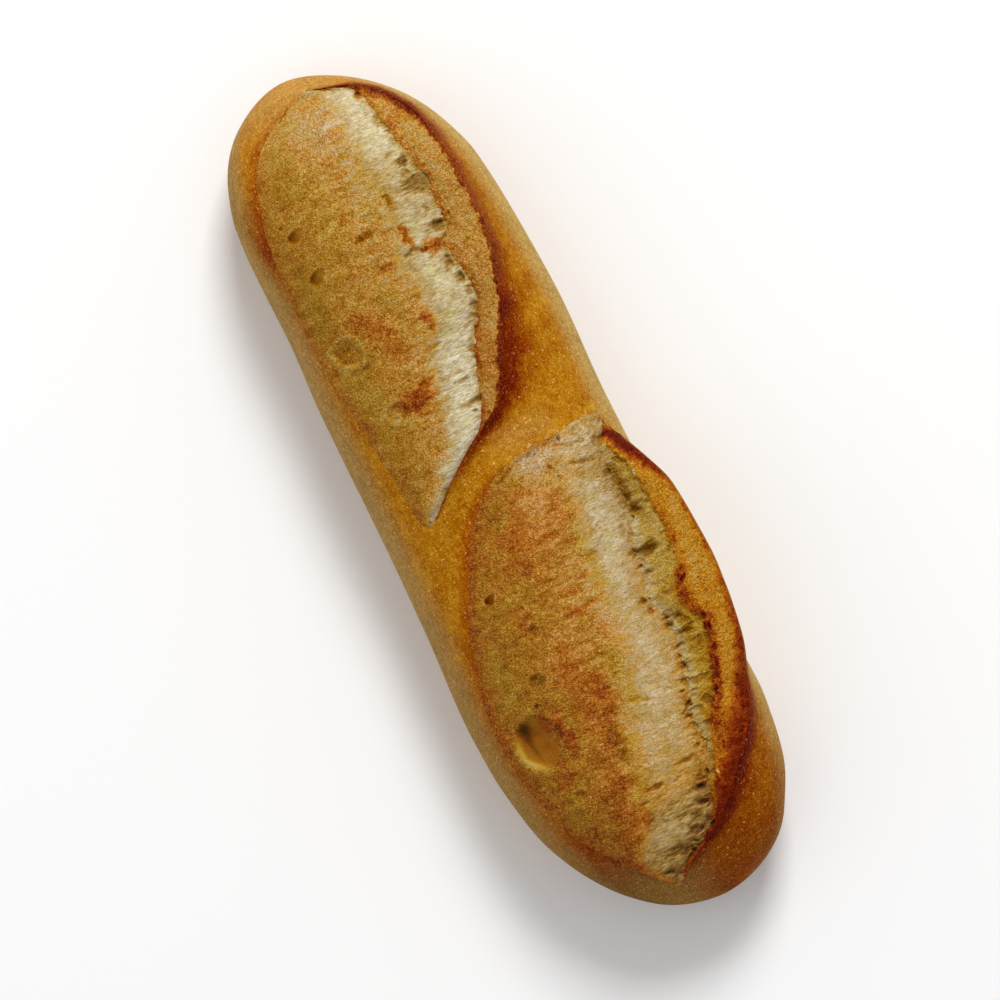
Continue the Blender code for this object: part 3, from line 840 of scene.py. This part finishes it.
def covers(patches, x, y, seed):
    """Summed toast and redness of patches with ragged outlines."""
    push, pull = rough(x / 2.6, y / 3.4, seed), rough(x / 2.0, y / 3.4, seed + 5)
    toast, redness = np.zeros_like(x), np.zeros_like(x)
    for px, py, length, width, browner, redder in patches:
        give = min(1.6, 0.6 * length, 0.6 * width)
        away = np.hypot((x + give * push - px) / length, (y + give * pull - py) / width)
        cover = 1 - fade(away, 0.30, 1.25)
        toast, redness = toast + browner * cover, redness + redder * cover
    return toast, redness


def beads(x, y, seed):
    """Relief of torn, baked bread: crowded granules of uneven size, about -0.3 to 0.4."""
    east, north = x + 0.5 * humps(x / 2, y / 2, seed), y + 0.5 * humps(x / 2, y / 2, seed + 1)
    large, _, tag = cells(east / 1.5, north / 1.9, seed + 2)
    small, _, _ = cells(east / 0.85, north / 0.95, seed + 3)
    return (0.30 + 0.35 * tag) * (0.5 - large) + 0.30 * (0.45 - small) + 0.08


def torn_crumb(x, y, open_share, seed):
    """Relief of torn crumb: fine strands along Y, and torn cells with thin walls."""
    bent = x + 1.3 * humps(x / 6, y / 6, seed + 2) + 0.5 * humps(x / 2.2, y / 3, seed + 6)
    strand = 1 - 2.0 * np.abs(rough(bent / 0.75, y / 6.5, seed, 2))
    _, border, tag = cells(bent / 1.9 + 0.4 * humps(x / 2, y / 2, seed + 3), y / 4.4, seed + 4)
    hollow = fade(tag + open_share, 1.0, 1.25) * fade(border, 0.06, 0.55)
    return 0.09 * strand + 0.10 * rough(x / 1.8, y / 4, seed + 5), hollow


def foam(x, y, size, seed):
    """Open bubbles of torn crumb: 0 on their thin walls, up to 1 inside."""
    east = x + 0.45 * size * humps(x / size, y / size, seed)
    north = y + 0.45 * size * humps(x / size, y / size, seed + 1)
    _, border, tag = cells(east / size, north / (1.7 * size), seed + 2)
    return fade(border, 0.04, 0.40) * fade(tag, 0.15, 0.85)


def ear_edge(slash, x):
    """The ragged lower edge of an ear, where it meets the torn crumb."""
    along = 0 * x
    ragged = 0.75 * rough(x / 3.4, along, 300, 2) + 0.70 * rough(x / 1.5, along, 301, 2)
    if slash is SLASH_2:
        ragged = 1.3 * ragged + 1.1 * rough(x / 5.5, along, 302, 2)
    else:
        for px, py, length, width, _ in HOLES_1:
            above = np.clip(py + width - float(smooth_curve(slash["crevice"], px)), 0.0, 3.0)
            ragged += 0.8 * above * bell(x - px, length)
        for px, width, length in TONGUES:
            ragged -= length * bell(x - px, width)
    return smooth_curve(slash["crevice"], x) + 0.2 + ragged * opened(slash, x)


def make_bloom(name, slash, first, last, patches, seed, material):
    """One bloom, from x first to last: its shape, then its toast, redness and smoothness, with
    painted shade in its hollows and painted highlights on its rims.
    """
    shell = make_ball(name, BLOOM_RINGS, BLOOM_FRONT + BACK_COLUMNS)
    stations = np.linspace(first, last, BLOOM_RINGS + 1)
    x = np.repeat(stations[:, None], BLOOM_FRONT, axis=1)
    seam, band, crevice = (smooth_curve(slash[key], x) for key in ("seam", "band", "crevice"))
    second = slash is SLASH_2
    row = np.linspace(0.0, 1.0, BLOOM_FRONT)
    back_tuck = np.clip(smooth_curve(slash["crest"], x) + 1.2 - crevice, 0.5, TUCK_BACK)
    front_y = seam - TUCK_FRONT + row * (crevice - seam + TUCK_FRONT + back_tuck)

    def noise(length, width, own, octaves=3):
        return rough(x / length, front_y / width, seed + own, octaves)

    # Where the skin, the pale crumb and the crevice lie.
    ragged = 1.1 * noise(3, 3, 40) + 0.6 * noise(1, 0.9, 41)
    amount = opened(slash, x + ragged)
    across = (front_y - seam) / np.maximum(band - seam, 0.5)
    past = (front_y - band) / np.maximum(crevice - band, 0.5)
    way = np.where(front_y < band, 0.5 * across, 0.5 + 0.5 * past)
    jagged = 1.8 * noise(4, 9, 1) + 1.3 * noise(1.1, 4, 0)
    blend = 4.6 if second else 2.8
    crumb = fade(front_y - band + jagged, -1.2 * blend, 0.8 * blend)
    near = fade(front_y - crevice, -6.0, -0.5)

    # Relief: humps, wrinkles and granules, torn strands and cells, and what burst or cracked.
    skin = 0.35 * noise(7, 10, 2, 2) * fade(across, 0.05, 0.4)
    wrinkle = 0.22 * noise(2, 4.5, 3, 2) * fade(across, 0.25, 1.0)
    pebble = beads(1.25 * x, 1.25 * front_y, seed + 4) * (0.45 + 0.30 * fade(across, 0.1, 0.6))
    pebble *= 1 + 0.35 * noise(8, 8, 15)
    web = fade(x, 84, 100) if second else 0.0
    strands, cell = torn_crumb(x, front_y, 0.10 + 0.30 * near + 0.30 * web, seed + 10)
    cell = cell * crumb * (0.20 + 0.45 * near + 0.20 * web)
    bubble = foam(x, front_y, 2.1, seed + 30) * crumb * (0.35 + 0.65 * fade(x, 40, 90)) * second
    bubble *= 0.35 + 0.65 * near
    pits, inside, lip = pitted(x, front_y, seed + 6)
    dents, rim = dented(x, front_y, seed + 8)
    crater, crater_shade_and_tone, smooth = cratered(x, front_y, seed + 9)
    holes = holes_at(x, front_y)
    crease = creased(x, front_y, seed + 7)
    smooth = held(smooth + fade(pits, 0.15, 0.6))
    fine = pebble * (1 - 0.85 * crumb) + wrinkle * (1 - crumb) + strands * (0.1 + 0.9 * crumb)
    fine *= 1 - 0.85 * smooth
    relief = skin + fine - cell - 0.7 * bubble - crease - dents - 0.8 * pits - crater + rim + lip

    # Height: swollen over the plain loaf, and tucked under the crust and under the ear.
    edge = ear_edge(slash, x)
    under = front_y - edge - 1.6 * (1 - fade(x, -3.5, 0.0)) * second
    tuck = 2.7 * fade(seam - front_y, 0.0, TUCK_FRONT) + 3.6 * fade(under, 0.6, 3.0)
    z = crown_height(x, front_y) + lumps(x, front_y)
    z = z + smooth_curve(SWELL, way) * np.maximum(amount, 0.12) - tuck
    z -= 0.8 * (1 - fade(amount, 0.0, 0.2)) * (not second)
    start = fade(x + 0.8 * ragged, first + 0.5, first + 1.7)
    z += (0.14 - 1.3 * (1 - start)) * (1 - fade(x, first + 2, first + 6)) * second
    z = z + amount * relief - holes * fade(amount, 0, 0.5)

    # Toast and redness: of the skin, of the crumb and of the seam, with painted shade darkening
    # holes, cells, bubbles, cracks, dents, pits and the crumb by the crevice and under the ear,
    # and painted highlights on rims.
    toast = smooth_curve(slash["toast"], across)
    toast -= 0.12 * fade(-x, 98.0, 116.0) * (1 - 0.6 * fade(across, 0.3, 0.9))
    redness = smooth_curve(((0.0, 0.25), (0.4, 0.32), (0.9, 0.50)), across)
    browner, redder = covers(patches, x, front_y, seed + 20)
    stained = held(4 * browner - 0.3)
    streak = noise(1.3, 7, 25, 2) * fade(across, 0.45, 0.9)
    patchy = 0.07 * noise(2.6, 4, 22) + (0.12 - 0.04 * second) * streak
    toast = toast + browner + patchy * (1 - 0.8 * smooth)
    redness = redness + redder + 0.22 * noise(5, 7, 23)
    bent = x + 0.9 * humps(x / 5, front_y / 5, seed)
    _, border, tag = cells(bent / 2.3, front_y / 5.5, seed + 14)
    oval = fade(border, 0.04, 0.30) * (1.0 if second else 0.4)
    # Painted shade: the second bloom's crumb darker towards the crevice.
    pale = smooth_curve(slash["brown"], x) + 0.11 * near * second + 0.6 * browner
    pale = pale + 0.05 * noise(1.4, 6, 24) + 0.05 - 0.07 * oval * (0.4 + tag)
    pale += 0.06 * noise(2.6, 4, 26, 2)
    # Painted shade: darker inside open bubbles.
    pale = pale + 0.12 * bubble + (0.10 if second else 0.14) * bell(front_y - band - 0.6, 2.4)
    toast = toast * (1 - crumb) + pale * crumb
    # Painted shade: darker in the holes and torn cells, and below also less red in the holes.
    deep = fade(holes, 0.2, 1.7)
    toast = toast + 0.14 * fade(holes, 0.05, 0.6) + 0.14 * deep + 0.30 * held(cell)
    # Cracks darker: partly their own colour, partly painted shade.
    toast += (0.15 + 0.18 * crumb) * held(crease / 0.6)
    # Painted shadow: the crumb darker just under the ear's edge.
    toast += (0.06 if second else 0.22) * bell(front_y - edge - 0.2, 1.2)
    toast += 0.04 * (1 - start) * second
    glow = bell(front_y - seam - 0.2, 2.4) * (1.0 if second else 0.6)
    toast, redness = toast + 0.06 * glow, redness + 0.5 * glow
    # Painted shade: darker towards each pit's deep end and a little in dent floors.
    toast = toast + 0.13 * inside + 0.03 * fade(dents, 0.2, 1.0)
    # Painted highlights: lighter rims of pits and dents; the crater adds its painted shade and
    # highlight.
    toast = toast - 0.4 * np.clip(rim + lip, 0, 0.5) + crater_shade_and_tone
    redness = redness * (1 - 0.8 * deep) * (1 - (0.75 - 0.35 * second) * crumb * (1 - stained))
    redness = redness + 0.4 * oval * tag * crumb * second + 1.5 * np.minimum(crater_shade_and_tone, 0.0)
    creamy = 1 - 0.45 * second * fade(x, 15, 40) * fade(-x, -100, -92)
    smoothed = crumb * creamy * (1 - stained) * (1 - smooth) - smooth
    bake = [toast, held(redness), smoothed, held(0.5 + 1.5 * fine)]
    lay_torn(shell, x, front_y, z, bake, (0.0, -5.0), material)


def lay_torn(shell, x, y, z, bake, bow, material):
    """Closes a torn face with its hidden back, bowed in y and z, gathers its two ends, and
    finishes it."""
    way = np.linspace(1.0, 0.0, BACK_COLUMNS + 2)[1:-1]

    def close(part, most):
        back = part[:, :1] + (part[:, -1:] - part[:, :1]) * way + most * np.sin(math.pi * way)
        return np.concatenate((part, back), axis=1)

    y, z = close(y, bow[0]), close(z, bow[1])
    x, *bake = (np.concatenate((part, part[:, -BACK_COLUMNS:]), axis=1) for part in (x, *bake))
    for end in (0, -1):
        y[end], z[end] = y[end].mean(), z[end].mean()
    finish_piece(*shell, x, y, z, bake, material)


def torn_paint(name, plain, redder):
    """Matte torn bread, from pale crumb to scorched skin, in two casts of brown, with painted
    glints and painted light and shade on its granules. The third baked value is 0 on granular
    skin, 1 on fibrous crumb and -1 inside a smooth bubble."""
    paint = Paint(name, Roughness=0.75, Specular_IOR_Level=0.04)
    here, along = paint.millimetres((1.0, 0.65, 0.65)), paint.millimetres((1.0, 0.25, 0.25))
    toast_wire, redness_wire, smooth_wire, relief_wire = paint.baked()
    blotch = paint.noise(here, 0.30, 4.0, 0.65)
    grain = paint.noise(here, 1.5, 3.0, 0.65)
    fine = paint.noise(here, 3.2, 2.0, 0.6)
    fibre = paint.noise(along, 2.4, 4.0, 0.7)
    tint = paint.noise(along, 0.8, 3.0, 0.6)
    fibrous = smooth_wire.rise(0.0, 1.0)
    granular = 1 - 0.85 * fibrous - 0.85 * (0 - smooth_wire).rise(0.0, 1.0)
    # Painted light and shade: raised granules lighter and their hollows darker; their redder tops
    # are their own colour.
    raised = relief_wire - 0.5
    uneven = (0.07 * blotch + 0.05 * grain) * granular
    depth = toast_wire + uneven + 0.06 * fibrous * fibre - 0.13 * raised
    cast = redness_wire + (0.11 * blotch + 0.03 * grain + 0.08 * raised) * granular
    face = paint.mix(cast.rise(-0.1, 1.1), paint.ramp(plain, depth), paint.ramp(redder, depth))
    face = paint.mix(0.65 * fibrous.rise(0.4, 1.0), face, paint.ramp(CRUMB, depth))
    yellower = paint.vector("MULTIPLY", face, (1.0, 0.98, 0.35))
    face = paint.mix((0.85 - 0.35 * fibrous) * tint.rise(-0.2, 1.0), face, yellower)
    # Painted glints: small highlights on the granules' tops.
    painted_glint = (fine + 0.8 * grain + 1.2 * raised).rise(0.75, 1.5)
    step = (0.07 * painted_glint - 0.05 * grain - 0.20 * fine) * granular + 0.10 * raised
    face = paint.lighten(face, 0.02 + step - 0.16 * fibrous * fibre)
    height = (0.34 * grain + 0.60 * fine) * (0.3 + 0.7 * granular) + 0.34 * fibrous * fibre
    paint.feed(Base_Color=face, Normal=paint.relief(height, 0.44))
    return paint.material


CRUMB_STOPS = (0.00, 0.12, 0.28, 0.42, 0.55, 0.68, 0.82, 1.00)
CRUMB = shades(
    CRUMB_STOPS, (222, 214, 180), (208, 192, 156), (189, 165, 119), (168, 138, 80),
    (148, 117, 64), (121, 92, 47), (92, 66, 32), (60, 40, 18),
)
TORN_OLIVE = shades(
    CRUMB_STOPS, (222, 212, 176), (204, 188, 142), (190, 160, 96), (193, 150, 56), (176, 126, 26),
    (148, 96, 16), (106, 64, 10), (60, 34, 6),
)
TORN_RUDDY = shades(
    CRUMB_STOPS, (228, 208, 176), (212, 182, 140), (206, 160, 102), (209, 144, 66),
    (190, 112, 28), (163, 78, 8), (126, 46, 6), (80, 20, 4),
)
torn_bread = torn_paint("torn_bread", TORN_OLIVE, TORN_RUDDY)

# Browner and paler patches of each bloom: x, y, half length, half width, toast, redness.
PATCHES_1 = (
    (-108, -2, 9, 9, -0.1, 0.25), (-95, 0, 10, 5, -0.05, 0.15), (-52, -11, 9, 6, 0.1, 0.35),
    (-32.2, -9, 5.4, 6.6, 0.2, 0.45), (-31.6, -12, 3.4, 4.4, 0.1, 0.2),
    (-67, -2.5, 1.4, 4.4, 0.11, 0.2), (-77, -3, 1.3, 4.5, 0.07, -0.1),
    (-49.5, 2, 4.5, 1.7, 0.3, 0.6), (-57, 2.6, 3, 1.2, 0.14, -0.2),
    (-71.6, 7.2, 3.9, 1.9, 0.6, 0.9), (-66.4, 12.4, 2.6, 3.6, 0.56, 0.9),
    (-82.5, 7.3, 2.8, 1.3, 0.42, -0.5), (-58, -15, 3, 3, 0.1, 0.3),
    # The paler patch at (-47.6, -23) is a painted highlight on a dent's lit rim.
    (-47.6, -23, 1.4, 2.8, -0.15, -0.1), (-46, -9, 3, 4, 0.06, 0.2),
    (-112, 13.2, 2.6, 1, 0.35, 0.3), (-24.2, 0.2, 1.6, 2.6, 0.24, -0.2),
    (-100, -14, 12, 5, 0, -0.2), (-30, -17.6, 1.6, 1.6, -0.2, 0), (-41, -14, 5, 5, 0.04, 0.2),
    (-85, 1, 7, 5, -0.04, -0.2), (-92.5, 4.5, 1.2, 3, 0.1, -0.5), (-91, -1.5, 0.8, 3, 0.1, -0.5),
    (-70, -24, 14, 3, 0.02, -0.4), (-38, -22, 12, 4, -0.02, -0.4), (-60, -6, 5, 4, 0.03, -0.2),
)
PATCHES_2 = (
    (10, 2, 12, 9, -0.06, 0.5), (18, -4, 9, 6, 0.05, 0.45), (30, 3, 8, 6, -0.04, 0.2),
    (46, -8, 10, 8, -0.03, 0.35), (60, -8, 14, 6, 0.08, 0.35), (92, -14, 14, 7, 0.1, 0.3),
    (38.4, 1, 1.4, 5, 0.08, 0.3), (30.5, 7, 1.6, 2.2, 0.14, 0.5), (66, -17.3, 8, 2, 0.16, 0.8),
    (76, -23, 4, 4, 0.06, 0.5), (61.5, -20.5, 3, 2, 0.06, 0.4), (104, -16, 8, 4, 0.04, 0.2),
    (78, -10, 7, 5, 0.06, 0.3), (35, -13, 4, 3, 0.08, 0.4), (25, -16, 14, 5, -0.01, 0.15),
    (15, -11, 8, 4, -0.03, 0.3), (45, -25, 8, 4, -0.05, -0.1), (60, -3, 9, 2.2, 0.12, 0.5),
    (96, -8, 2.4, 2.4, 0.16, 0.3), (85, -9, 3.4, 3.2, 0.14, 0.3), (-3, 16, 4.5, 16, -0.12, 0.3),
    (3, 16, 5, 14, -0.03, 0.1), (9, 17, 9, 5, -0.06, 0), (72, -5.5, 6, 3.5, 0.14, 0.1),
    (7, 5, 5, 4, -0.08, 0.1), (5, 21, 5, 4, 0.14, -0.1), (-2, 2, 3, 8, -0.1, -0.1),
    (-4, 9, 4.5, 7, -0.24, 0.3), (2, 10, 4, 4.5, -0.13, 0), (-5.4, 25.5, 2.6, 4.5, 0.2, 0.3),
    (47, 6, 8, 2.4, 0.06, 0.4), (13, 9, 8, 2.4, 0.05, 0.3), (30, 11, 16, 2.6, 0.06, -0.4),
    (60, 4, 14, 3, 0.07, -0.4), (82, -5.5, 12, 2.6, 0.1, -0.4),
)
make_bloom("bloom_1", SLASH_1, -120.5, 1.5, PATCHES_1, 100, torn_bread)
make_bloom("bloom_2", SLASH_2, -8.2, 117.5, PATCHES_2, 200, torn_bread)

# ---------------------------------------------------------------------------------------
# The ears' inner faces: torn bread that the lifted crust carried up with it. Each starts
# under the thin lip of crust, is toasted down to its own lip, and below that shows yellow
# crumb that ends in a ragged edge over the crevice.

EAR_RINGS, EAR_FRONT = 640, 132
# Shares of a face's rows: tucked under the crust's lip before this, curled under after that.
TUCK_END, CURL_START = 0.05, 0.82
# How far the crust's scorch runs in over each ear's face, along x.
SINGE_1 = ((-120, 0.8), (-112, 3.0), (-104, 2.4), (-96, 1.4), (-80, 0.8), (-50, 0.9), (-30, 1.2),
           (2, 0.6))
SINGE_2 = ((-6, 4.0), (4, 4.0), (9, 3.8), (14, 2.8), (20, 1.5), (28, 0.9), (45, 1.3), (56, 2.0),
           (64, 3.0), (72, 4.2), (79, 6.2), (86, 10.0), (104, 10.0), (110, 4.0), (118, 2.0))
# How much the lower lip of the second ear's toasted face is singed, along x.
SINGED_LIP = (
    (-6, 0), (20, 0.05), (27, 0.45), (33, 0.4), (38, 0.15), (42, 0.8), (46, 0.45), (51, 0.45),
    (55, 1), (78, 1), (86, 0.3), (92, 0),
)


def make_ear(name, slash, first, last, patches, singe, seed, material):
    """One ear's inner face, from x first to last: its shape, then what the oven did to it,
    with painted shade in its holes, bubbles and curled edge.
    """
    second = slash is SLASH_2
    shell = make_ball(name, EAR_RINGS, EAR_FRONT + BACK_COLUMNS)
    stations = np.linspace(first, last, EAR_RINGS + 1)
    x = np.repeat(stations[:, None], EAR_FRONT, axis=1)
    row = np.linspace(0.0, 1.0, EAR_FRONT) + 0 * x

    def noise(length, width, own):
        return rough(x / length, y / width, seed + own)

    amount = opened(slash, x)
    foot, lean = ear_foot(slash, x)
    crest_y = foot + lean
    crest_z = crown_height(x, foot) + smooth_curve(slash["rise"], x) * amount

    crevice = smooth_curve(slash["crevice"], x)
    lip_y = smooth_curve(slash.get("lip", slash["crevice"]), x)
    shelf = fade(lip_y - crevice, 0.5, 4.0)
    even_y = np.minimum(crevice + 0.2, crest_y - 0.6)
    edge_y = np.minimum(ear_edge(slash, x), crest_y - 0.6)
    even_z = crown_height(x, even_y) + lumps(x, even_y) - 1.3 * amount

    # Shape: tucked under the crust, down the face past its lip, and curled under its edge.
    tuck = held(row / TUCK_END)
    face = held((row - TUCK_END) / (CURL_START - TUCK_END))
    curl = held((row - CURL_START) / (1 - CURL_START))
    rim = 0.7 - 0.75 * fade(lean, 0.2, 2.5)
    y = crest_y - 0.1 * tuck + rim * (1 - tuck) + (even_y - crest_y + 0.1) * face
    y += (edge_y - even_y) * fade(face, 0.35, 1.0)
    down = face + (even_y - edge_y) * fade(face, 0.35, 1.0) / np.maximum(crest_y - even_y, 2.0)
    z = crest_z - 1.3 + 1.3 * tuck + (even_z - crest_z) * down
    lip_y += (0.5 * noise(3, 3, 2) + 0.3 * noise(1, 1, 3)) * shelf
    below = fade(lip_y - y, -0.2, 1.0) * shelf
    bulge = (0.6 + 1.8 * shelf) * np.sin(math.pi * held(down))
    z = z + bulge * amount - 1.3 * below * (1 - face) ** 0.5 * amount
    room = fade(crest_y - edge_y, 0.0, 6.0)
    y += 3.6 * room * curl**1.6
    z -= (2.0 + 5.5 * room) * curl
    z -= 1.0 * (1 - fade(amount, 0.0, 0.25))

    # Relief: granules and pores above the lip, strands and bubbles below it, and holes.
    on_face = fade(row, 0.03, 0.10) * fade(1.0 - row, 0.02, 0.16) * amount
    broad = noise(3.2, 3.2, 4)
    pebble = beads(1.3 * x, 1.3 * y, seed + 5) * (0.6 if second else 0.8)
    _, border, tag = cells(x / 1.3, y / 1.3, seed + 9)
    pore = fade(tag, 0.80, 0.95) * fade(border, 0.15, 0.5)
    strands, _ = torn_crumb(x, y, 0.30, seed + 10)
    low_edge = bell((y - edge_y) / 1.6, 1.0) * (1 - shelf)
    holes = holes_at(x, y) * (1 - curl)
    bubble = foam(x, y, 2.3, seed + 30) * below
    fibrous = 0.9 - 0.4 * fade(y - crevice, 1.0, 4.5)
    fine = pebble * (1 - 0.85 * below) - 0.25 * pore * (1 - below) + fibrous * strands * below
    relief = 0.28 * broad + fine - 0.6 * bubble + 0.20 * low_edge * noise(1.2, 1.2, 0)
    z = z + relief * on_face - holes * fade(amount, 0, 0.5)

    # Toast and redness: of the face, of the crumb below, of the lip and the scorch, and painted
    # shade in the holes, the bubbles and the curled edge.
    toast = (0.465 if second else 0.44) + 0.06 * broad + 0.06 * pore + 0.15 * low_edge
    redness = (0.85 if second else 0.60) + 0.22 * low_edge + 0.1 * broad
    redness -= 0.25 * fade(noise(5, 4, 8), 0.05, 0.7) * (1 - 0.6 * second)
    browner, redder = covers(patches, x, y, seed + 20)
    toast, redness = toast + browner, redness + redder
    lipped = smooth_curve(SINGED_LIP, x) * shelf * (1 + 0.5 * noise(1.8, 1.8, 11))
    higher = (0.10 + 0.06 * fade(x, 42, 58)) * fade(y - crevice, 1.0, 6.0)
    crumb_toast = smooth_curve(slash["brown"], x) + 0.08 + higher
    crumb_toast += 0.10 * noise(1.4, 4, 12)
    band = bell(y - 27.2 + 0.5 * noise(3, 3, 15), 1.5)
    band = band * fade(x, 6.0, 9.0) * fade(-x, -25.0, -21.5)
    crumb_toast += 0.18 * band
    toast = toast * (1 - below) + (crumb_toast + 0.7 * browner) * below
    redness = redness * (1 - below) + (0.08 + redder) * below
    toast += 0.40 * lipped * bell(y - lip_y - 0.7, 1.7)
    redness += 0.6 * lipped * bell(y - lip_y - 0.7, 2.0)
    inward = crest_y - y + 0.7 * noise(1.6, 1.6, 13) + 0.4 * noise(5, 5, 14)
    reach = smooth_curve(singe, x)
    scorch = (1 - fade(inward, 0.25 * reach, 1.3 * reach)) * (1 - below)
    _, strength = scorch_of(slash, x)
    darkest = 0.40 + 0.03 * fade(x, 86, 92) + 0.10 * bell(x - 3, 5.0) * second
    toast += darkest * scorch * held(1.2 * strength)
    redness += 0.8 * scorch
    # Painted shade: darker and less red in the holes and under the curled edge, and darker in
    # open bubbles.
    deep = fade(holes, 0.2, 1.7) + 0.8 * fade(curl, 0.25 * second, 1.0)
    toast = toast + 0.28 * held(deep) + 0.14 * bubble
    redness *= 1 - 0.85 * held(deep)
    smoothed = below * (1.0 - 0.6 * np.maximum(fade(y - crevice, 1.0, 4.5), band))
    smoothed -= 0.5 * scorch * second
    fine *= 1 - 0.5 * scorch
    bake = [toast, held(redness), smoothed, held(0.5 + 1.4 * fine)]
    lay_torn(shell, x, y, z, bake, (0.2, -1.0), material)


EAR_STOPS = (0.00, 0.15, 0.30, 0.45, 0.60, 0.75, 0.88, 1.00)
EAR_OLIVE = shades(
    EAR_STOPS, (224, 212, 170), (206, 186, 130), (192, 162, 86), (178, 134, 38), (150, 102, 12),
    (116, 72, 6), (86, 48, 4), (56, 28, 2),
)
EAR_AMBER = shades(
    EAR_STOPS, (228, 196, 148), (214, 168, 104), (206, 150, 66), (206, 138, 24), (187, 108, 6),
    (154, 60, 2), (116, 28, 0), (84, 8, 0),
)
toasted_face = torn_paint("toasted_face", EAR_OLIVE, EAR_AMBER)

EAR_PATCHES_1 = (
    (-66.5, 12.5, 2.6, 2.6, 0.18, 0.4), (-64, 15.5, 2.4, 1.6, 0.14, 0.4),
    (-34, 11, 10, 4, 0.1, 0.3), (-18, 1, 8, 5, 0.1, 0.3), (-88, 22, 9, 2, -0.08, -0.1),
    (-58, 20, 6, 3, 0.02, 0.2), (-101, 15.6, 8, 0.8, 0.04, -0.5),
    (-94, 20.5, 3, 1.5, -0.03, -0.35), (-80, 21.5, 3, 1.2, -0.03, -0.3),
    (-104, 20, 5, 3, 0.04, 0.3), (-41, 12, 3, 1.4, 0.12, 0.4), (-26, 6, 2.5, 1, -0.1, -0.5),
)
EAR_PATCHES_2 = (
    (47.5, 28.6, 4.6, 2.6, 0.16, 0.6), (43.6, 29.4, 1.6, 1.4, 0.2, 0.4), (86, 22, 9, 5, 0, 0.5),
    (60, 24, 4.5, 2.4, 0.18, -0.1), (62, 32, 6, 2, -0.05, -0.1), (14, 30, 12, 2.2, 0.02, -0.2),
    # The pale spot at (93.8, 14.4) is a painted glint.
    (12.5, 31.8, 1.2, 0.8, -0.3, -0.3), (93.8, 14.4, 1, 0.4, -0.6, 0),
    (36, 35, 12, 2.2, -0.05, -0.15),
)
make_ear("ear_1", SLASH_1, -120.0, 1.5, EAR_PATCHES_1, SINGE_1, 300, torn_bread)
make_ear("ear_2", SLASH_2, -2.8, 117.5, EAR_PATCHES_2, SINGE_2, 400, toasted_face)

# ---------------------------------------------------------------------------------------
# The stage: a plain pale floor, a soft key light from the top of the picture with a weak
# fill, and a camera straight above. The loaf lies slantwise in the picture.

FLOOR_HALF = 6.0
FLOOR_GREY = 0.94
SKY_STRENGTH = 0.48
KEY_POWER, FILL_POWER = 56.0, 9.0

floor_bm = bmesh.new()
bmesh.ops.create_grid(floor_bm, x_segments=1, y_segments=1, size=FLOOR_HALF)
floor_mesh = bpy.data.meshes.new("floor")
floor_bm.to_mesh(floor_mesh)
floor_bm.free()
floor = bpy.data.objects.new("floor", floor_mesh)
bpy.context.scene.collection.objects.link(floor)
floor_colour = (FLOOR_GREY, FLOOR_GREY, FLOOR_GREY, 1.0)
pale_floor = Paint("pale_floor", Base_Color=floor_colour, Roughness=0.9)
floor_mesh.materials.append(pale_floor.material)

# The picture's two directions on the floor.
PICTURE_UP = (-0.8852, 0.4651)
PICTURE_RIGHT = (0.4651, 0.8852)


def lamp(name, right, up, height, size, power):
    """A square soft light over the picture, aimed at the middle of the loaf."""
    data = bpy.data.lights.new(name, "AREA")
    data.shape, data.size, data.energy = "SQUARE", size, power
    made = bpy.data.objects.new(name, data)
    made.location = (
        right * PICTURE_RIGHT[0] + up * PICTURE_UP[0],
        right * PICTURE_RIGHT[1] + up * PICTURE_UP[1],
        height,
    )
    aim = -made.location
    made.rotation_mode = "QUATERNION"
    made.rotation_quaternion = aim.to_track_quat("-Z", "Y")
    bpy.context.scene.collection.objects.link(made)


lamp("key", 0.2, 1.9, 2.1, 0.9, KEY_POWER)
lamp("fill", -1.5, -0.5, 2.3, 2.2, FILL_POWER)

world = bpy.data.worlds.new("studio")
world.use_nodes = True
sky = world.node_tree.nodes["Background"]
sky.inputs["Color"].default_value = (1.0, 1.0, 1.0, 1.0)
sky.inputs["Strength"].default_value = SKY_STRENGTH
bpy.context.scene.world = world
bpy.context.scene.view_settings.view_transform = "Standard"

CAMERA_HEIGHT = 3.0
PICTURE_PLANE = 0.03  # height at which the picture is PICTURE_WIDTH wide
PICTURE_WIDTH = 269.9 * MM
PICTURE_CENTRE = (2.4 * MM, -3.6 * MM)
SENSOR = 36.0
camera_data = bpy.data.cameras.new("camera")
camera_data.sensor_width = SENSOR
camera_data.lens = SENSOR * (CAMERA_HEIGHT - PICTURE_PLANE) / PICTURE_WIDTH
camera_data.clip_end = 100.0
camera = bpy.data.objects.new("camera", camera_data)
camera.location = (*PICTURE_CENTRE, CAMERA_HEIGHT)
camera.rotation_euler = (0.0, 0.0, math.atan2(PICTURE_RIGHT[1], PICTURE_RIGHT[0]))
bpy.context.scene.collection.objects.link(camera)
bpy.context.scene.camera = camera
